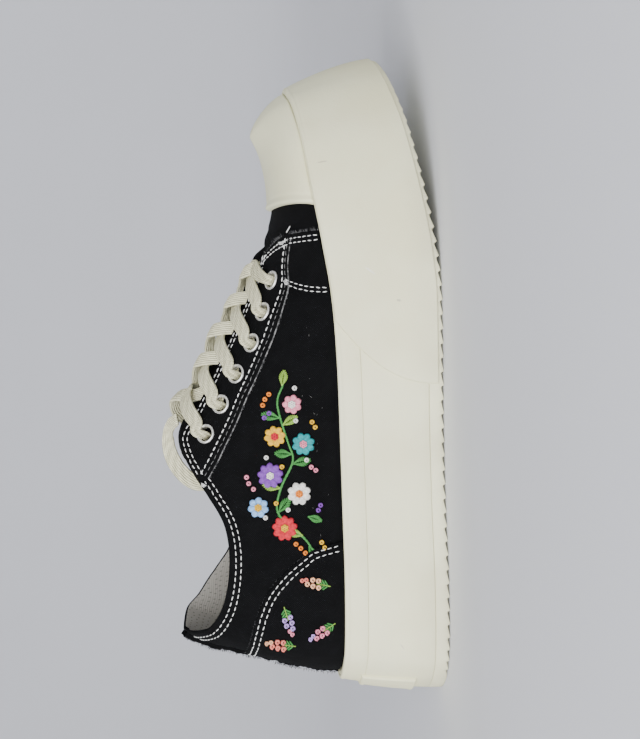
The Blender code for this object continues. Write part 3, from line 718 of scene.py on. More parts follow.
def arc_uv(points, row=None):
    """UV map of a grid in millimetres: distance along the rows (their mean or one row's) and up columns."""
    along, up = travelled(points, 1), travelled(points, 0)
    along = along.mean(0) if row is None else along[row]
    return np.stack(np.broadcast_arrays(along, up), -1).reshape(-1, 2)


hole_axes = {}
for side in (-1, 1):
    u = at_station(EYELETS["station"], side)
    phi = phi_at_height(u, EYELETS["height"])
    hole_axes[side] = list(zip(last(u, phi), facing(u, phi)))
u = at_station(VENTS["station"], 1)
phi = over_lip(u, VENTS["above_lip"])
vent_axes = list(zip(last(u, phi), facing(u, phi)))


def clear_of_holes(corners, axes):
    """Which of these faces, given by their corners, lie wholly outside every eyelet's hole."""
    kept = np.ones(len(corners), bool)
    for centre, axis in axes:
        off = corners - centre
        along = off @ axis
        away = np.linalg.norm(off - along[..., None] * axis, axis=-1)
        kept &= ((away > HOLE) | (np.abs(along) > HOLE_REACH)).all(1)
    return kept


# Weave: the height and tone of a plain weave from a UV map in millimetres, with slubs and lint from noise;
# the lint colour is also laid on the tall thread crowns as a painted highlight.
weave, here, there = new_group(
    "plain_weave",
    [("Place", "Vector"), ("Pitch", "Float"), ("Cloth", "Color"), ("Lint And Highlight", "Color")],
    [("Color", "Color"), ("Height", "Float")],
)
parts = put(weave, "SeparateXYZ", {0: here.outputs["Place"]})
waves = []
for axis in (0, 1):
    turns = maths(weave, "DIVIDE", parts.outputs[axis], here.outputs["Pitch"])
    waves.append(maths(weave, "SINE", maths(weave, "MULTIPLY", turns, np.pi)))
slub, fuzz = noise(weave, here.outputs["Place"], 0.9, 3.0), noise(weave, here.outputs["Place"], 0.12, 4.0)
tall = maths(weave, "ADD", maths(weave, "MULTIPLY", *waves), slub)
# Lint and painted highlight: the colour goes to the lint colour where the fuzz noise puts lint and where the
# thread crowns and slubs stand tall.
toning = maths(weave, "MULTIPLY", ramp(weave, tall, 0.4, 1.5), ramp(weave, fuzz, 0.3, 0.75, 0.25, 1.0))
fill(weave, there, {"Color": mixed(weave, toning, here.outputs["Cloth"], here.outputs["Lint And Highlight"]), "Height": tall})


def woven(name, pitch, cloth, lint, dots=None):
    """Woven cloth of a thread pitch in millimetres, its colour between cloth and lint, the lint colour also a
    painted highlight on the thread crowns, with dots if asked.
    """
    material, tree, shader = new_material(name)
    place = put(tree, "UVMap", uv_map="cloth").outputs[0]
    sockets = {"Place": place, "Pitch": pitch, "Cloth": cloth, "Lint And Highlight": lint}
    made = put(tree, "Group", sockets, node_tree=weave)
    colour = made.outputs["Color"]
    if dots is not None:
        sockets = {"Vector": place, "Scale": 0.40, "Randomness": 0.35}
        spots = put(tree, "TexVoronoi", sockets, voronoi_dimensions="2D").outputs["Distance"]
        colour = mixed(tree, ramp(tree, spots, 0.20, 0.12), colour, dots)
    bump = put(tree, "Bump", {"Height": made.outputs["Height"], "Strength": 0.7, "Distance": 0.00022})
    looks = {"Base Color": colour, "Roughness": 0.92, "Normal": bump.outputs[0]}
    fill(tree, shader, looks | {"Specular IOR Level": 0.08})
    return material


# The canvas's second colour is both its lint and a painted highlight on its thread crowns; the lining's pale
# colour is the same.
BLACK, BLACK_LINT_AND_HIGHLIGHT = (0.0028, 0.0029, 0.0033, 1), (0.0105, 0.0108, 0.0118, 1)
LINING, LINING_PALE, LINING_DOTS = (0.34, 0.325, 0.29, 1), (0.45, 0.435, 0.40, 1), (0.20, 0.19, 0.175, 1)
canvas = woven("black_canvas", 0.42, BLACK, BLACK_LINT_AND_HIGHLIGHT)
lining_cloth = woven("lining_cloth", 0.5, LINING, LINING_PALE, LINING_DOTS)

shares = np.linspace(0, 1, 241)
round_u = both_sides(shares - 0.02 * np.sin(2 * np.pi * shares))
edge = top_edge(round_u)
climb = np.linspace(0, 1, 60)[:, None]
outer = skin(round_u[None], climb * edge[None], 0.0)
inner = skin(round_u[None], climb[::-1] * edge[None], -WALL)
shut = edge > np.pi / 2 - 1e-6
fold = (outer[-1] + inner[0]) / 2 + (0, 0, 0.55)
fold = np.where(shut[:, None], outer[-1], fold)
down = np.array([0, 0, CUP_DEEP - 1.0])
inner[-1, :, 2] = outer[0, :, 2]
wall = np.concatenate([outer[:1] - down, outer, fold[None], inner, inner[-1:] - down, outer[:1] - down])
faces = grid(len(wall), len(round_u), True)
row = np.repeat(np.arange(len(wall) - 1), len(round_u))
lid = np.tile(shut & np.roll(shut, -1), len(wall) - 1) & ((row == len(outer)) | (row == len(outer) + 1))
flat = wall.reshape(-1, 3)
kept = ~lid & clear_of_holes(flat[faces], hole_axes[-1] + hole_axes[1] + vent_axes)
uv = arc_uv(wall, len(outer) // 2)
points, faces, numbers, first = welded(flat, faces[kept])
kinds = (row[kept][numbers] > len(outer) + 1).astype(int)
upper = add_mesh("upper_canvas", points, faces, [canvas, lining_cloth], kinds, uv[first])
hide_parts("upper")
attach(upper, "root")

# Footbed: a moulded foam insole covered with pale woven cloth, cut to the shape of the cup and laid loose on
# its floor, inside the canvas.
INSOLE_THICK = 4.0
ring = both_sides(np.linspace(0, 1, 141))
inside = LIP + LIP_GAP + WALL + 0.45
steps = [(0.0, 0.3), (0.0, INSOLE_THICK - 0.8), (0.3, INSOLE_THICK - 0.2)]
steps += [(1.1, INSOLE_THICK), (6, INSOLE_THICK - 0.4)]
levels = [side_wall(ring, inside + off, from_top=0.0) - (0, 0, CUP_DEEP - 0.3 - up) for off, up in steps]
points, faces, _, _ = welded(*layered(levels))
footbed_cloth = woven("footbed_cloth", 0.6, (0.40, 0.38, 0.34, 1), (0.52, 0.50, 0.46, 1))
footbed = add_mesh("footbed", points, faces, [footbed_cloth], uv=points[:, :2])
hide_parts("insole")
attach(footbed, "root")

# Toe cap: thick cream rubber moulded and cemented over the front of the vamp, its foot tucked behind the
# foxing, with a rolled rim along its rear edge.
CAP_UNDER, CAP_OVER, CAP_TUCK = 0.25, 2.45, 0.7
CAP_REAR, CAP_LATERAL_SLANT, CAP_MEDIAL_SLANT = 207.7, -6.0, 11.0
climb = close_to_ends(56, 0.3)[:, None]
sweep = 2 * close_to_ends(230, 0.8)[None, :] - 1
slant = np.where(sweep > 0, CAP_MEDIAL_SLANT, CAP_LATERAL_SLANT) * (1 - climb)
cap_u = 1 + (1 - np.interp(CAP_REAR + slant, SHARE_STATIONS, SHARES)) * sweep
first_phi = over_lip(cap_u, 0.1)
cap_phi = first_phi + (np.pi / 2 - first_phi) * climb
near, far, _, _ = from_edges(skin(cap_u, cap_phi, 1.5))
rear = np.minimum(near, far)
lift = CAP_UNDER + (CAP_OVER - CAP_UNDER) * rolled(rear, 0.9) + 0.28 * bell(rear, 1.5, 0.8)
lift -= 0.12 * bell(rear, 3.6, 0.7)
outer, inner = skin(cap_u, cap_phi, lift), skin(cap_u, cap_phi, CAP_UNDER)
outer[0, :, 2] -= CAP_TUCK
inner[0, :, 2] -= CAP_TUCK
points, faces, _, _ = welded(*slab(outer, inner, top_open=False))
cap = add_mesh("toe_cap_rubber", points, faces, [rubber("toe_cap_cream", 4.0)])
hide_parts("toe_cap")
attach(cap, "root")

# Overlays: second layers of the same canvas stitched over the upper. The eyestays carry the eyelets, a patch
# braces each side of the vamp, and the counters wrap the heel; all edges are cut raw.
OVERLAY_UNDER, OVERLAY_OVER = 0.10, 1.15
EYESTAY_REAR, EYESTAY_FRONT, EYESTAY_SLANT = 90.5, 192.3, 7.0
PATCH_REAR, PATCH_BEND, PATCH_FRONT = 168.4, 4.2, 194.3
COUNTER_FRONT, SEAM_HALF_WIDE = 65.4, 0.8
COLUMN_BEHIND = 2.4
EYESTAY = table(
    "station height",
    (90, 97.9),
    (98, 93.2),
    (107, 88.5),
    (115.5, 84.1),
    (125.8, 79.4),
    (134, 75.2),
    (141.9, 71.3),
    (150, 67.5),
    (162.1, 62.9),
    (170.2, 60.3),
    (180, 60),
    (190, 58.4),
    (200, 57.1),
)
COUNTER = table(
    "station height",
    (5, 84.5),
    (15, 83.3),
    (26, 81),
    (35, 78.5),
    (44, 74.5),
    (51.3, 69),
    (58.3, 61),
    (63.4, 52.5),
    (65.8, 42),
)


def at_place(side, x, height):
    """u of the column that passes through an x and a height on one side, its station moved until x agrees."""
    station = np.asarray(x, float) - COLUMN_BEHIND
    for _ in range(4):
        u = at_station(station, side)
        station = station + x - last(u, phi_at_height(u, height))[..., 0]
    return at_station(station, side)


def canvas_layer(name, outer, inner, axes=()):
    """A layer of canvas between two grids, with holes about the axes, its weave following the outer grid."""
    flat, faces = slab(outer, inner)
    points, faces, _, first = welded(flat, faces[clear_of_holes(flat[faces], axes)])
    return add_mesh(name, points, faces, [canvas], uv=np.tile(arc_uv(outer), (2, 1))[first])


def overlay(name, node, u, phi, axes=()):
    """A raw-edged layer of canvas on the upper's own form, pulled down a little along its stitched border."""
    edges = np.min(from_edges(skin(u, phi, 0.5)), axis=0)
    thick = (OVERLAY_OVER - OVERLAY_UNDER) * (0.45 + 0.55 * rolled(edges, 0.6))
    outer = skin(u, phi, OVERLAY_UNDER + thick - 0.16 * bell(edges, 2.4, 1.3))
    piece = canvas_layer(name, outer, skin(u, phi, OVERLAY_UNDER), axes)
    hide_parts(node)
    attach(piece, "root")


def stay_front(climb):
    """Station of the eyestay's front edge at shares of the way up it."""
    return EYESTAY_FRONT - EYESTAY_SLANT * climb**2.2


def on_stay(side, station, climb):
    """u and phi on an eyestay at a station and a share of the way from its lower edge to the throat."""
    u = at_station(station, side)
    low = phi_at_height(u, smooth(EYESTAY, "height", station))
    return u, low + (top_edge(u) - low) * climb


for side, name in SIDES:
    climb = close_to_ends(44, 0.7)[:, None]
    station = EYESTAY_REAR + (stay_front(climb) - EYESTAY_REAR) * close_to_ends(190, 0.4)[None, ::-side]
    overlay("eyestay_canvas_" + name, "eyestay_" + name, *on_stay(side, station, climb), hole_axes[side])

    climb = close_to_ends(40, 0.8)[:, None]
    rear = PATCH_REAR + PATCH_BEND * climb**2.5
    x = rear + (PATCH_FRONT - rear) * close_to_ends(44, 0.8)[None, ::-side]
    low = sole_levels(at_station(x - 3, side))[1] + 0.1
    height = low + (smooth(EYESTAY, "height", x - COLUMN_BEHIND) - 0.3 - low) * climb
    patch_u = at_place(side, x, height)
    overlay("patch_canvas_" + name, "patch_" + name, patch_u, phi_at_height(patch_u, height))

    near_seam = (SEAM_HALF_WIDE + 0.1) / U_LONG
    front = np.interp(COUNTER_FRONT, SHARE_STATIONS, SHARES)
    share = near_seam + (front - near_seam) * close_to_ends(110, 0.5)[None, ::-side]
    counter_u = share if side < 0 else 2 - share
    low_phi = over_lip(counter_u, 0.1)
    high_phi = phi_at_height(counter_u, smooth(COUNTER, "height", middle_station(counter_u)))
    counter_phi = low_phi + (high_phi - low_phi) * close_to_ends(60, 0.8)[:, None]
    overlay("counter_canvas_" + name, "counter_" + name, counter_u, counter_phi)

# Back seam: the raw canvas edges of both quarters, stitched together up the heel and left standing out, a
# little ragged.
SEAM_PROUD = 2.2
rng = np.random.default_rng(11)
seam_u = (2 * close_to_ends(9, 0.6)[None, :] - 1) * SEAM_HALF_WIDE / U_LONG
low_phi = over_lip(seam_u, 0.1)
seam_phi = low_phi + (top_edge(seam_u) - low_phi) * np.linspace(0, 1, 120)[:, None]
ragged = np.convolve(rng.normal(0, 0.42, 122), (0.25, 0.5, 0.25), "valid")
lift = (SEAM_PROUD + ragged[:, None]) * rolled(SEAM_HALF_WIDE - np.abs(seam_u) * U_LONG + 0.08, 0.5)
seam = canvas_layer("back_seam_edge", skin(seam_u, seam_phi, lift), skin(seam_u, seam_phi, 0.02))
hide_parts("back_seam")
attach(seam, "root")

# Tongue: two layers of the canvas with a thin pad between, sewn in under the vamp, where it gathers in small
# pleats.
TONGUE_TOP, TONGUE_FRONT, TONGUE_THICK = 98.0, 200.0, 2.0
TONGUE = table(
    "station half_wide drop bulge",
    (98, 29, 13, 0),
    (105, 29, 7.5, 0),
    (112, 28, 3.2, 0),
    (125, 26, 0.3, 0),
    (150, 24, 0, 0.6),
    (172, 22, 0, 2.2),
    (184, 21, 0, 3.6),
    (190, 20.5, 0, 4.2),
    (194.5, 20.2, 0, 0.8),
    (200, 20, 0, 0),
)


def across(station, reach, lift):
    """A point over the foot at a signed distance from the ridge, lateral side negative."""
    u = at_station(station, np.where(np.asarray(reach) <= 0, -1, 1))
    return skin(u, phi_at_reach(u, reach), lift)


station = np.linspace(TONGUE_TOP, TONGUE_FRONT, 130)[:, None]
wide = np.linspace(-1, 1, 61)[None, :]
reach = wide * smooth(TONGUE, "half_wide", station)
sink = smooth(TONGUE, "drop", station) - smooth(TONGUE, "bulge", station) * bell(reach, 0.0, 5.5)
ripple = np.sin(reach * 1.5 + 0.4 * np.sin(station / 3))
pleats = 0.45 * ripple * bell(station, 187, 7) * (np.abs(reach) < 9)
sink = np.stack([0 * sink, 0 * sink, sink - pleats], -1)
station = station + 0 * reach
near, far, under, _ = from_edges(across(station, reach, -3.0))
edge = np.minimum(np.minimum(near, far), under)
thick = TONGUE_THICK * (0.35 + 0.65 * rolled(edge, 2.2)) - 0.35 * bell(edge, 4.5, 0.8)
middle = -WALL - 0.8 - TONGUE_THICK / 2
outer, inner = (across(station, reach, middle + half) - sink for half in (thick / 2, -thick / 2))
tongue = canvas_layer("tongue_canvas", outer, inner)
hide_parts("tongue")
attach(tongue, "root")

# Eyelets: pressed metal rings with a white enamelled, rounded flange, set through the eyestays, six a side,
# and two plain ones as vents low on the inner side.
BARREL, BORE, FLANGE = 3.3, 3.05, 4.15
ENAMEL, ENAMEL_WORN = (0.78, 0.77, 0.73, 1), (0.60, 0.59, 0.55, 1)


def turned(profile, axes, sides=40):
    """Rings turned about several axes from one closed profile of radius and height pairs."""
    profile = np.array(profile, float)
    spin = np.linspace(0, 2 * np.pi, sides, endpoint=False)[:, None, None]
    parts, faces = [], []
    for centre, axis in axes:
        first = unit(np.cross(axis, (1.0, 0.2, 0.1)))
        spoke = np.cos(spin) * first + np.sin(spin) * np.cross(axis, first)
        ring = centre + profile[None, :, :1] * spoke + profile[None, :, 1:] * axis
        count = len(profile) * sides
        faces.append(grid(len(profile) + 1, sides, True) % count + count * len(parts))
        parts.append(ring.transpose(1, 0, 2).reshape(-1, 3))
    return np.concatenate(parts), np.concatenate(faces)[:, ::-1].tolist()


def ring_profile(seat):
    """Section of an eyelet: a half-round flange on the cloth, a straight barrel and its end rolled inside."""
    arc = np.linspace(0, np.pi, 9)
    middle, half = (FLANGE + BORE) / 2, (FLANGE - BORE) / 2
    crown = [(middle + half * np.cos(a), seat + 0.05 + 0.75 * np.sin(a)) for a in arc]
    back = [(BORE, -WALL - 0.1), (BORE + 0.3, -WALL - 0.4), (BORE + 1.2, -WALL - 0.35)]
    return crown + back + [(BORE + 1.5, -WALL - 0.05), (BARREL, -WALL - 0.02), (BARREL, seat + 0.03)]


enamel, tree, shader = new_material("eyelet_enamel")
toning = noise(tree, object_place(tree), 700.0, 3.0)
fill(tree, shader, {
    "Base Color": mixed(tree, ramp(tree, toning, 0.56, 0.72), ENAMEL, ENAMEL_WORN),
    "Roughness": ramp(tree, toning, 0.4, 0.75, 0.20, 0.42),
    "Metallic": 0.65,
    "Coat Weight": 0.5,
    "Coat Roughness": 0.1,
})
for side, name in SIDES:
    rings = add_mesh("eyelet_rings_" + name, *turned(ring_profile(OVERLAY_OVER), hole_axes[side]), [enamel])
    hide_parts(*(f"eyelet_{name}_{k}" for k in range(1, 7)))
    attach(rings, "root")
vents = add_mesh("vent_rings", *turned(ring_profile(0.0), vent_axes), [enamel])
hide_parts("vent_1", "vent_2")
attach(vents, "root")

# Lace: one flat cream cotton braid with ribs along it, drawn through the eyelets from outside, so each length
# comes from under one eyestay, crosses the tongue and goes into the next eyelet up on the other side.
LACE_WIDE, LACE_THICK, LACE_PINCHED = 6.9, 1.5, 3.8
LACE_RIBS, LACE_RIB_HIGH, BRAID_TILT = 7, 0.13, np.radians(38)
LACE_CREAM, LACE_PALE = (0.77, 0.745, 0.52, 1), (0.90, 0.88, 0.67, 1)
# The groove colour is painted shade for the troughs between the ribs; the pale colour is lint and a painted
# highlight on the braid's thread crowns.
LACE_GREY, LACE_GROOVE_SHADE = (0.62, 0.59, 0.42, 1), (0.43, 0.405, 0.26, 1)


def curve_through(knots, count):
    """Even steps of a Catmull-Rom curve through rows of numbers."""
    knots = np.array(knots, float)
    padded_knots = np.vstack([2 * knots[0] - knots[1], knots, 2 * knots[-1] - knots[-2]])
    at = np.linspace(0, len(knots) - 1, count)
    i = np.minimum(at.astype(int), len(knots) - 2)
    f = (at - i)[:, None]
    p0, p1, p2, p3 = (padded_knots[i + k] for k in range(4))
    cubic = 3 * p1 - p0 - 3 * p2 + p3
    return p1 + 0.5 * f * (p2 - p0 + f * (2 * p0 - 5 * p1 + 4 * p2 - p3 + f * cubic))


def ribbon(path, wide, half_wide, half_thick, cupped, start=0, half_steps=28):
    """A flat ribbed braid along a path: at a share w of its half width its faces lie
    half_thick * sqrt(1 - w ** 4) from the middle, plus the cosine of the ribs and cupped * w ** 2. Gives
    points, faces and a UV map of length and width in millimetres."""
    along = unit(np.gradient(path, axis=0))
    wide = unit(wide - along * np.sum(wide * along, 1, keepdims=True))
    up = np.cross(wide, along)
    w = np.linspace(1, -1, half_steps + 1)[:-1]
    w = np.concatenate([w, -w])
    t = np.sqrt(1 - w**4) * np.repeat([1, -1], half_steps)
    ribs = LACE_RIB_HIGH * np.cos(LACE_RIBS * np.pi * w) * t
    offset = half_thick[:, None] * t + ribs + cupped[:, None] * w**2
    points = path[:, None] + wide[:, None] * (half_wide[:, None] * w)[..., None]
    points = points + up[:, None] * offset[..., None]
    uv = np.stack(np.broadcast_arrays(travelled(path)[:, None], w * LACE_WIDE / 2), -1)
    number = start + np.arange(len(path) * len(w)).reshape(len(path), -1)
    faces = grid(len(path), len(w), True, start)[:, ::-1].tolist()
    faces += [number[0].tolist(), number[-1, ::-1].tolist()]
    return points.reshape(-1, 3), faces, uv.reshape(-1, 2)


cord_cloth, tree, shader = new_material("cream_lace")
place = put(tree, "UVMap", uv_map="cloth").outputs[0]
turned_place = put(tree, "Mapping", {"Vector": place, "Rotation": (0, 0, BRAID_TILT)}).outputs[0]
sockets = {"Place": turned_place, "Pitch": 0.55, "Cloth": LACE_CREAM, "Lint And Highlight": LACE_PALE}
braid = put(tree, "Group", sockets, node_tree=weave)
width_of = put(tree, "SeparateXYZ", {0: place}).outputs[1]
rib = maths(tree, "COSINE", maths(tree, "MULTIPLY", width_of, 2 * np.pi * LACE_RIBS / LACE_WIDE))
grey = ramp(tree, noise(tree, object_place(tree), 90.0, 3.0), 0.55, 0.8, 0.0, 0.3)
colour = mixed(tree, grey, braid.outputs["Color"], LACE_GREY)
# Painted shade: the colour is darkened in the troughs between the ribs.
colour = mixed(tree, ramp(tree, rib, -0.2, -1.0, 0.0, 0.55), colour, LACE_GROOVE_SHADE)
height = maths(tree, "ADD", rib, braid.outputs["Height"])
bump = put(tree, "Bump", {"Height": height, "Strength": 0.8, "Distance": 0.0002})
looks = {"Base Color": colour, "Roughness": 0.9, "Normal": bump.outputs[0]}
fill(tree, shader, looks | {"Specular IOR Level": 0.2})

stations = EYELETS["station"]
spans = {}
for side in (-1, 1):
    u = at_station(stations, side)
    _, y, _, _, ridge_y, _, peak, _ = column(u)
    spans[side] = np.abs(y - ridge_y) * np.cos(phi_at_height(u, EYELETS["height"])) ** (2 / peak)
gaps = smooth(THROAT, "gap", stations)


def lace_length(knots, widths):
    """A length of lace through knots of station, reach and lift over the last, with a width at each knot."""
    run = curve_through(np.column_stack([knots, widths]), 100)
    station, reach, lift, width = run.T
    path = across(station, reach, lift)
    chart = across(station, reach, 0 * lift)
    tangent = np.gradient(chart, axis=0) + 0.02 * (chart[-1] - chart[0])
    kernel = np.ones(13) / 13
    tangent = np.column_stack([np.convolve(np.pad(t, 6, "edge"), kernel, "valid") for t in tangent.T])
    u = at_station(station, np.where(reach <= 0, -1, 1))
    wide = unit(np.cross(tangent, facing(u, phi_at_reach(u, reach))))
    pinch = np.clip((LACE_WIDE - width) / (LACE_WIDE - LACE_PINCHED), 0, 1)
    return path, wide, width / 2, np.full(len(path), LACE_THICK / 2) + 0.25 * pinch, 0.9 * pinch


top = OVERLAY_OVER
entry_widths = [LACE_PINCHED, LACE_PINCHED, 4.4, 6.2]
bar = {
    side: [
        (stations[0], side * (spans[side][0] - 0.6), -3.2),
        (stations[0], side * (spans[side][0] - 0.6), -0.4),
        (stations[0] + 0.5, side * (spans[side][0] - 1.9), top + 1.2),
        (stations[0] + 4, side * (gaps[0] + 3), top + 1.5),
        (stations[0] + 7.5, side * (gaps[0] - 4), 1.9),
    ]
    for side in (-1, 1)
}
bar_knots = bar[-1] + [(stations[0] + 8.5, 0, 1.5)] + bar[1][::-1]
lengths = [lace_length(bar_knots, entry_widths + [LACE_WIDE] * 3 + entry_widths[::-1])]
# How loosely each medial band but the last lies over its lateral strap, from the toe up.
LOOSE = (1.5, 2.0, 3.2, 2.2)
for n in range(1, len(stations)):
    here, ahead_of = stations[n], stations[n - 1]
    last_one = n == len(stations) - 1
    for side in (-1, 1):
        span, gap, mate_gap = spans[side][n], gaps[n], gaps[n - 1]
        midway = (span + gap) / 2
        start = [
            (here, side * (span - 0.6), -3.2),
            (here, side * (span - 0.6), -0.4),
            (here + 0.8, side * (span - 2.1), top + 1.1),
        ]
        end = [
            (here + 20.6, -side * (mate_gap + 3.0), -2.1),
            (ahead_of, -side * (spans[-side][n - 1] - 2.0), -2.3),
        ]
        if side < 0:
            over = 1.0 if last_one else 0.0
            crossing = [
                (here + 4.5, -0.845 * span, top + 1.5),
                (here + 9.0, -0.64 * span, top + 1.6),
                (here + 13.0, -0.43 * span, 2.2 + 0.4 * over),
                (here + 16.5, -0.24 * span, 0.9 + 1.1 * over),
                (here + 19.5, -0.06 * span, 0.4 + 0.8 * over),
                (here + 21.0, mate_gap - 4.0, -0.8),
            ]
        elif last_one:
            crossing = [
                (here + 3.6, midway, top + 3.0),
                (here + 8.5, gap - 3.5, 7.5),
                (here + 13.5, 6.0, 7.6),
                (here + 16.8, 1.0, 2.8),
                (here + 17.6, -4.5, -0.4),
                (here + 18.6, -mate_gap + 3.0, -0.8),
            ]
        else:
            loose = LOOSE[n - 1]
            crossing = [
                (here + 3.6, midway, top + 1.8 + 0.2 * loose),
                (here + 9.0, gap - 3.5, 2.4 + 0.8 * loose),
                (here + 14.5, 6.5, 3.0 + loose),
                (here + 18.2, 1.5, 2.5 + 0.6 * loose),
                (here + 19.6, -4.5, 2.3 + 0.2 * loose),
                (here + 20.6, -mate_gap + 2.5, 0.3),
            ]
        widths = entry_widths + [LACE_WIDE] * 4 + [6.5, 6.0, 5.0]
        lengths.append(lace_length(start + crossing + end, widths))
points, faces, uv = [], [], []
for one in lengths:
    p, f, t = ribbon(*one, start=sum(map(len, points)))
    points.append(p)
    faces += f
    uv.append(t)
lace = add_mesh("lace_braid", np.concatenate(points), faces, [cord_cloth], uv=np.concatenate(uv))
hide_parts("lace")
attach(lace, "root")

# Lace loop: the loose end of the same braid, standing in an arch over the top of the tongue and tucked down
# inside the collar.
LOOP = table(
    "station side height",
    (119.5, -8, 109.3),
    (117, -2, 112),
    (113, 5, 113.3),
    (106.5, 11, 113.4),
    (100, 14, 111.6),
    (94.5, 14.2, 108),
    (90.8, 12, 103.2),
    (89.8, 9, 97.6),
)
path = curve_through(np.column_stack(list(LOOP.values())), 90)
share = np.linspace(0, 1, len(path))
face_out = np.array([0.15, -1.0, 0.25]) + np.array([0.1, 0.1, 0.35]) * bell(share, 0.0, 0.45)[:, None]
loop_wide = np.cross(np.gradient(path, axis=0), face_out)
half = LACE_WIDE / 2 - 0.6 * bell(share, 0.0, 0.12) - 0.5 * bell(share, 1.0, 0.1)
points, faces, uv = ribbon(path, loop_wide, half, np.full(90, LACE_THICK / 2), 0.35 * np.sin(np.pi * share))
loop = add_mesh("lace_loop_braid", points, faces, [cord_cloth], uv=uv)
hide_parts("lace_loop")
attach(loop, "root")

# Seams: white cotton thread in double rows of lockstitch along every edge of the canvas, each stitch pulled
# down at both ends, with small bartacks where rows meet and the pale cut edge of the eyestay beside them.
STITCH_LONG, STITCH_SPACE, STITCH_LEAN = 2.15, 0.55, 0.09
THREAD_RADIUS, BOLD_RADIUS, DIM_RADIUS, TACK_RADIUS = 0.22, 0.26, 0.17, 0.18
COLLAR_ROWS, THROAT_ROWS, FRONT_ROWS, COUNTER_ROWS = (2.3, 4.4), (2.0, 4.1), (2.3, 4.3), (1.4, 3.5)
BOLD_INSET, DIM_INSET = 3.4, 1.6
# Patch rows: x at the foot, and 1 where the row bends with the rear edge.
PATCH_ROWS = ((PATCH_FRONT - 1.8, 0), (PATCH_FRONT - 3.7, 0), (PATCH_REAR + 1.2, 1), (PATCH_REAR + 2.9, 1))
# Bartacks: x, height and tilt in degrees.
BARTACKS = ((92.4, 98.9, 60), (191.2, 61.6, 85), (174.7, 60.9, 20))


def spindles(centre, out, radius, sides=6):
    """Closed threads along rows of points (threads, steps, 3), a radius at every step and pointed ends."""
    threads, steps = centre.shape[:2]
    along = unit(np.gradient(centre, axis=1), 1e-9)
    wide = unit(np.cross(along, out), 1e-9)
    up = np.cross(wide, along)
    spin = np.linspace(0, 2 * np.pi, sides, endpoint=False)[:, None]
    spokes = np.cos(spin) * wide[:, :, None] + np.sin(spin) * up[:, :, None]
    radius = np.broadcast_to(radius, (threads, steps))[:, 1:-1, None, None]
    body = (centre[:, 1:-1, None] + spokes[:, 1:-1] * radius).reshape(threads, -1, 3)
    points = np.concatenate([centre[:, :1], body, centre[:, -1:]], 1)
    size = points.shape[1]
    ring = np.arange(sides)
    start_fan = np.stack([np.zeros(sides, int), 1 + np.roll(ring, -1), 1 + ring], -1)
    tail = size - 1 - sides
    end_fan = np.stack([np.full(sides, size - 1), tail + ring, tail + np.roll(ring, -1)], -1)
    step = np.arange(threads)[:, None, None] * size
    quads = (grid(steps - 2, sides, True, 1) + step).reshape(-1, 4)
    return points.reshape(-1, 3), quads, (np.concatenate([start_fan, end_fan]) + step).reshape(-1, 3)


def join(groups):
    """Groups of points, quads and triangles as one mesh, with the number of its group for every face."""
    points, faces, kinds = [], [], []
    for k, group in enumerate(groups):
        for p, quads, fans in group:
            start = sum(map(len, points))
            faces += (quads + start).tolist() + (fans + start).tolist()
            kinds += [k] * (len(quads) + len(fans))
            points.append(p)
    return np.concatenate(points), faces, np.array(kinds)


def raised(u, phi, lift):
    """Points at a height over the last, with the direction out of the cloth."""
    return skin(u, phi, lift), facing(u, phi)


def on_side(side, station, height, lift):
    """The same at a station and a height on one side."""
    u = at_station(station, side)
    return raised(u, phi_at_height(u, height), lift)


def on_spot(side, x, height, lift):
    """The same at an x and a height on one side."""
    u = at_place(side, x, height)
    return raised(u, phi_at_height(u, height), lift)


def at_steps(at, steps, rows):
    """Rows of x, y and z read at places between the steps they were given for."""
    return np.stack([np.interp(at, steps, rows[:, k]) for k in range(3)], -1)


def stitched(line, out, radius=THREAD_RADIUS):
    """Lockstitches along a line: each leans a little, bows out of the cloth and dives back at its ends."""
    length = travelled(line)
    count = max(int(length[-1] / (STITCH_LONG + STITCH_SPACE)), 1)
    step = np.linspace(0, 1, 7)
    at = (np.arange(count)[:, None] + 0.5) * length[-1] / count + (step - 0.5) * STITCH_LONG
    place, normal = at_steps(at, length, line), at_steps(at, length, out)
    aside = unit(np.cross(np.gradient(place, axis=1), normal))
    place = place + aside * (rng.normal(0, STITCH_LEAN, (count, 1)) * (2 * step - 1))[..., None]
    rise = radius * (1.15 * np.sin(np.pi * step) ** 0.5 - 0.55)
    return spindles(place + normal * rise[:, None], normal, radius * np.array([0, 0.75, 1, 1.05, 1, 0.75, 0]))


def shifted(line, distance):
    """A flat line of station and height moved sideways by a distance, to its left when positive."""
    flow = unit(np.gradient(line, axis=0))
    return line + np.asarray(distance)[..., None] * np.stack([-flow[:, 1], flow[:, 0]], -1)


def spun(name, light, dark, scale):
    """Twisted thread, mottled between two tones."""
    material, tree, shader = new_material(name)
    twist = ramp(tree, noise(tree, object_place(tree), scale), 0.35, 0.65)
    colour = mixed(tree, twist, (*light, 1), (*dark, 1))
    fill(tree, shader, {"Base Color": colour, "Roughness": 0.75, "Specular IOR Level": 0.2})
    return material


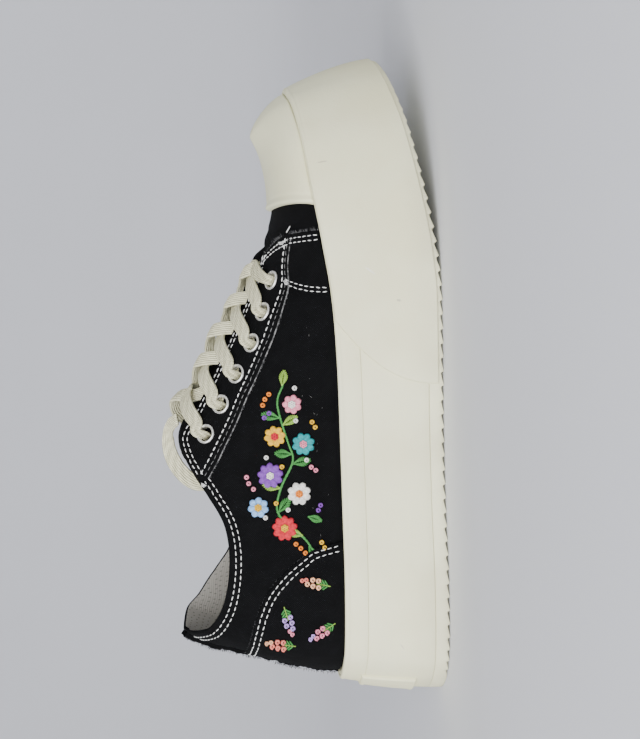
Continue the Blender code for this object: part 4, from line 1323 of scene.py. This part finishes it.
thread = spun("white_thread", (0.82, 0.82, 0.80), (0.66, 0.66, 0.65), 1500.0)
grey_thread = spun("grey_thread", (0.22, 0.22, 0.22), (0.10, 0.10, 0.10), 900.0)
cut_edge = spun("cut_edge", (0.20, 0.20, 0.20), (0.030, 0.030, 0.032), 700.0)
for side, name in SIDES:
    rows, dim, edges = [], [], []
    x = 2.5 + 87.5 * np.linspace(0, 1, 260) ** 2
    collar = np.column_stack([x, smooth(COLLAR, name, x)])
    for inset in COLLAR_ROWS:
        rows.append(stitched(*on_side(side, *shifted(collar, -inset).T, 0.0)))
    edge_u = at_station(np.linspace(93, 187, 240), side)
    edge = top_edge(edge_u)
    speed = np.linalg.norm(last(edge_u, edge - 0.02) - last(edge_u, edge), axis=-1) / 0.02
    for inset in THROAT_ROWS:
        rows.append(stitched(*raised(edge_u, edge - inset / speed, OVERLAY_OVER)))
    x = np.linspace(91.5, 191, 260)
    stay = np.column_stack([x, smooth(EYESTAY, "height", x)])
    drawn_in = 1 - 0.5 * np.clip((x - 156) / 24, 0, 1)
    rows.append(stitched(*on_side(side, *shifted(stay, BOLD_INSET * drawn_in).T, OVERLAY_OVER), BOLD_RADIUS))
    dim.append(stitched(*on_side(side, *shifted(stay, DIM_INSET * drawn_in).T, OVERLAY_OVER), DIM_RADIUS))
    line, out = on_side(side, *shifted(stay, 0.05).T, OVERLAY_OVER * 0.6)
    edges.append(spindles(line[None], out[None], 0.30 + 0.12 * rng.uniform(-1, 1, len(line))))
    edge_u = at_station(np.linspace(177, 186, 40), side)
    line, out = raised(edge_u, top_edge(edge_u), OVERLAY_OVER * 0.7)
    edges.append(spindles(line[None], out[None], 0.26 + 0.1 * rng.uniform(-1, 1, 40)))
    climb = np.linspace(0.04, 0.93, 60)
    for inset in FRONT_ROWS:
        rows.append(stitched(*raised(*on_stay(side, stay_front(climb) - inset, climb), OVERLAY_OVER)))
    climb = np.linspace(0.04, 1.03, 70)
    for edge_x, bend in PATCH_ROWS:
        low = sole_levels(at_station(edge_x - 3, side))[1]
        z = low + (smooth(EYESTAY, "height", edge_x - COLUMN_BEHIND) - low) * climb
        rows.append(stitched(*on_spot(side, edge_x + bend * PATCH_BEND * climb**2.5, z, OVERLAY_OVER)))
    x = 1.5 + 64.1 * np.linspace(0, 1, 260) ** 1.7
    counter = np.column_stack([x, smooth(COUNTER, "height", x)])
    for inset in COUNTER_ROWS:
        line = shifted(counter, -inset)
        line = line[line[:, 1] > sole_levels(at_station(line[:, 0], side))[1] + 0.4]
        rows.append(stitched(*on_side(side, *line.T, OVERLAY_OVER)))
    for x0, z0, tilt in BARTACKS:
        along = np.linspace(-1.3, 1.3, 9)[None, :] * [[1.0], [0.8], [0.6]]
        off = np.array([[-0.45], [0.0], [0.5]])
        a = np.radians(tilt)
        x = x0 + along * np.cos(a) - off * np.sin(a)
        z = z0 + along * np.sin(a) + off * np.cos(a)
        rows.append(spindles(*on_spot(side, x, z, OVERLAY_OVER + 0.1), TACK_RADIUS))
    points, faces, kinds = join([rows, dim, edges])
    seams = add_mesh("seam_thread_" + name, points, faces, [thread, grey_thread, cut_edge], kinds)
    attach(seams, "root")

# Embroidery: a garland in stranded cotton on the outer quarter and small sprigs on the counter, worked by
# hand in stem, satin and knot stitches through the canvas.
DYES = {
    "red": (0.60, 0.030, 0.045),
    "purple": (0.21, 0.065, 0.40),
    "teal": (0.02, 0.30, 0.32),
    "white": (0.80, 0.78, 0.74),
    "sky": (0.25, 0.46, 0.78),
    "gold": (0.76, 0.44, 0.035),
    "orange": (0.80, 0.23, 0.03),
    "pink": (0.78, 0.26, 0.36),
    "leaf": (0.06, 0.25, 0.06),
    "lime": (0.26, 0.43, 0.07),
    "coral": (0.80, 0.22, 0.17),
    "lilac": (0.45, 0.30, 0.66),
    "peach": (0.85, 0.46, 0.27),
}
# Daisies: dye, dye of the heart, x, height, radius and number of petals.
DAISIES = (
    ("red", "gold", 73.5, 66.5, 5.6, 9),
    ("white", "orange", 87.5, 60.0, 5.2, 8),
    ("purple", "white", 95.5, 71.5, 5.7, 9),
    ("sky", "gold", 82.5, 77.0, 4.6, 7),
    ("teal", "pink", 108.0, 57.5, 5.0, 8),
    ("gold", "red", 111.5, 69.0, 4.7, 8),
    ("pink", "white", 124.5, 61.5, 4.2, 7),
)
VINE = ((61, 54), (69, 58.5), (79, 69), (90, 67.5), (101, 62), (108, 63.5), (117, 66), (126, 67.5), (134, 64))
# Leaves: dye, x, height, turn in degrees and length.
LEAVES = (
    ("leaf", 66, 57, 205, 7.5),
    ("lime", 70, 59, 70, 7),
    ("leaf", 80, 68.8, 320, 8),
    ("lime", 90, 67.4, 75, 8),
    ("leaf", 100, 62.4, 280, 8),
    ("leaf", 104, 62.2, 85, 7.5),
    ("lime", 116, 65.8, 300, 7.5),
    ("leaf", 119, 66.6, 75, 8),
    ("lime", 132, 65.2, 350, 7),
    ("leaf", 78, 57, 250, 6.5),
)
# Berries: dye, then x and height of each.
BERRIES = (
    ("orange", (63, 58.5), (65, 60.3), (66.8, 62.2), (129, 70.5), (127, 72.2), (124.6, 73.2)),
    ("white", (78.2, 74.2), (81, 64.8), (101.4, 56.4), (103, 72.8), (117.8, 60.2), (131.2, 60.2)),
    ("pink", (90.2, 78.6), (92.6, 80.4), (95.2, 81.2), (98.4, 54.6), (97, 52.8)),
    ("gold", (84, 69.6), (99, 66.6), (67, 51.6), (64.8, 50.4), (114.8, 52.4), (117, 53.6)),
    ("purple", (119.4, 72.8), (121.2, 70.8), (80.4, 52.4), (82.4, 51.4)),
)
# Sprigs: dye of the buds, dye of the tip, x, height and turn in degrees.
SPRIGS = (
    ("coral", "peach", 25, 68, 80),
    ("lilac", "pink", 37, 67, 195),
    ("peach", "coral", 50, 53, 75),
    ("pink", "lilac", 31, 51, 120),
)
STRAND = 0.30
ON_COUNTER = OVERLAY_OVER + 0.1


def strands(start, end, high):
    """Straight stitches between rows of flat points: x, height and rise over the cloth, high * sin ** 0.6, at
    seven steps."""
    f = np.linspace(0, 1, 7)[None, :, None]
    flat = start[:, None] + (end - start)[:, None] * f
    rise = high * np.sin(np.pi * f) ** 0.6 - 0.12
    return np.concatenate([flat, np.broadcast_to(rise, flat[..., :1].shape)], -1)


def about(x, z, reach, turn):
    """Flat points at a distance and a turn from a middle."""
    return np.stack([x + reach * np.cos(turn), z + reach * np.sin(turn)], -1)


def petals(x, z, radius, count, per_petal=7):
    """Satin petals round a middle: the strands of each fan out from its root and end on a rounded tip."""
    spread = np.linspace(-1, 1, per_petal)[None, :]
    turn = 2 * np.pi * np.arange(count)[:, None] / count + 0.37 * radius
    root, tip = turn + 0.16 * spread, turn + 0.82 * np.pi / count * spread
    start, end = about(x, z, 1.1, root), about(x, z, radius * (1 - 0.17 * spread**2), tip)
    return strands(start.reshape(-1, 2), end.reshape(-1, 2), 0.55)


def leaf_blade(x, z, turn, long):
    """A fishbone leaf: slanted strands from its vein out to a pointed oval, on both sides."""
    t = np.tile(np.linspace(0.02, 0.98, 9), 2)
    side = np.repeat([-1, 1], 9)
    way = about(0, 0, 1, np.radians(turn))
    vein = 0.80 * long * t[:, None] * way
    out = (0.27 * long * side * np.sin(np.pi * (0.06 + 0.88 * t)))[:, None] * np.array([-way[1], way[0]])
    return strands((x, z) + vein, (x, z) + vein + 0.2 * long * way + out, 0.35)


def knot_coils(centres, size):
    """French knots: a coil of one and a half turns wound up round each centre."""
    turn = np.linspace(0, 3.3 * np.pi, 15)
    coil = np.stack([0.5 * np.cos(turn), 0.5 * np.sin(turn), 0.1 + 0.7 * turn / turn[-1]], -1) * size
    centres = np.asarray(centres, float)
    return np.pad(centres, ((0, 0), (0, 1)))[:, None] + coil


def worked(rows, lift, radius):
    """Strands laid on the outer side of the upper at a lift over the last."""
    place, out = on_spot(-1, rows[..., 0], rows[..., 1], lift + rows[..., 2])
    return spindles(place, out, radius)


work = {dye: [] for dye in DYES}
vine = curve_through(VINE, 60)
slant = 0.25 * np.stack([-np.gradient(vine[:, 1]), np.gradient(vine[:, 0])], -1)
work["leaf"].append(worked(strands(vine[:-3] - slant[:-3], vine[3:] + slant[3:], 0.30), 0.25, STRAND))
for dye, heart, x, z, radius, count in DAISIES:
    work[dye].append(worked(petals(x, z, radius, count), 0.45, STRAND))
    ring = about(x, z, 0.95, np.arange(6) * np.pi / 3)
    work[heart].append(worked(knot_coils(np.vstack([ring, [(x, z)]]), 0.85), 0.75, STRAND))
for dye, x, z, turn, long in LEAVES:
    work[dye].append(worked(leaf_blade(x, z, turn, long), 0.3, STRAND))
for dye, *centres in BERRIES:
    work[dye].append(worked(knot_coils(centres, 1.3), 0.15, 0.42))
for bud, bead, x, z, turn in SPRIGS:
    way = about(0, 0, 1, np.radians(turn))
    over = np.array([-way[1], way[0]])
    stem = (x, z) + np.linspace(-4.5, 1.5, 6)[:, None] * way
    work["lime"].append(worked(strands(stem[:-1], stem[1:] + 0.2 * way, 0.2), ON_COUNTER + 0.05, 0.26))
    foot = np.repeat(stem[1:4], 2, axis=0)
    tip = foot + 2.0 * way + 2.1 * over * np.tile([[-1], [1]], (3, 1))
    work["leaf"].append(worked(strands(foot, tip, 0.3), ON_COUNTER + 0.05, 0.34))
    buds = (x, z) + np.array([[0.4, 1.3], [1.0, -1.3], [2.8, 1.2], [3.4, -1.2], [5.2, 0.9]]) @ (way, over)
    work[bud].append(worked(knot_coils(buds, 1.4), ON_COUNTER, 0.44))
    tip = [(x, z) + 6.0 * way - 0.6 * over, (x, z) + 7.6 * way]
    work[bead].append(worked(knot_coils(tip, 1.15), ON_COUNTER, 0.38))
silks = [spun("silk_" + dye, tone, tuple(0.72 * c for c in tone), 1100.0) for dye, tone in DYES.items()]
points, faces, kinds = join(work.values())
garland = add_mesh("quarter_embroidery", points, faces, silks, kinds)
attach(garland, "root")

# Frayed edges: loose ends of canvas yarn along the raw edges of the overlays and the back seam, a white end
# of sewing thread at the front corner and lint caught on the cloth.
STUB_RADIUS = 0.22


def frayed(place, out, lead, count, long, radius):
    """Loose yarn ends set at random along a raw edge: each leaves along lead, leans and curls a little."""
    pick = rng.uniform(0, len(place) - 1, count)
    start, normal = (at_steps(pick, np.arange(len(place)), rows) for rows in (place, out))
    way = unit(lead + rng.normal(0, 0.45, (count, 3)) + 0.25 * normal)
    curl = np.cross(way, rng.normal(0, 1, (count, 3)))
    size = (long * rng.uniform(0.35, 1.0, count))[:, None, None]
    step = np.linspace(0, 1, 7)[None, :, None]
    path = start[:, None] + size * (step * way[:, None] + 0.35 * step**2 * curl[:, None])
    return spindles(path, normal[:, None] + 0.01, radius * np.array([0, 1, 1, 0.95, 0.85, 0.6, 0]), 4)


yarn = spun("loose_yarn", (0.010, 0.010, 0.012), (0.085, 0.085, 0.09), 420.0)
lint = spun("pale_lint", (0.30, 0.30, 0.29), (0.14, 0.14, 0.14), 420.0)
forward, upward = np.array([1.0, 0, 0]), np.array([0, 0, 1.0])
tufts, pale = [], []
for side in (-1, 1):
    z = np.linspace(47, 59, 60)
    edge = on_spot(side, PATCH_FRONT + 0 * z, z, OVERLAY_OVER * 0.6)
    tufts.append(frayed(*edge, forward, 110, 1.8, 0.085))
    pale.append(frayed(*edge, forward, 25, 1.6, 0.07))
    x = np.linspace(91, 191, 160)
    edge = on_side(side, x, smooth(EYESTAY, "height", x) - 0.1, OVERLAY_OVER * 0.6)
    tufts.append(frayed(*edge, -upward, 90, 0.9, 0.07))
    pale.append(frayed(*edge, -upward, 90, 0.8, 0.06))
    x = np.linspace(2, 64.5, 120)
    edge = on_side(side, x, smooth(COUNTER, "height", x) + 0.1, OVERLAY_OVER * 0.6)
    tufts.append(frayed(*edge, upward + 0.4 * forward, 110, 0.9, 0.07))
    climb = np.linspace(0.2, 0.98, 40)
    edge = raised(*on_stay(side, stay_front(climb), climb), 0.7)
    tufts.append(frayed(*edge, forward, 70, 1.9, 0.085))
    pale.append(frayed(*edge, forward, 18, 1.7, 0.07))
    spots = on_spot(side, rng.uniform(66, 164, 40), rng.uniform(47, 61, 40), 0.1)
    pale.append(frayed(*spots, forward, 16, 1.3, 0.05))
edge_phi = seam_phi[:, 4]
tufts.append(frayed(*raised(0 * edge_phi, edge_phi, SEAM_PROUD), -forward, 300, 1.6, 0.08))
stub, out = on_spot(-1, np.linspace(194.9, 197.7, 7), 59.4 - 1.4 * np.linspace(0, 1, 7) ** 1.3, 1.4)
points, faces, kinds = join([tufts, pale, [spindles(stub[None], out[None], STUB_RADIUS)]])
fray = add_mesh("frayed_yarn", points, faces, [yarn, lint, thread], kinds)
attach(fray, "root")
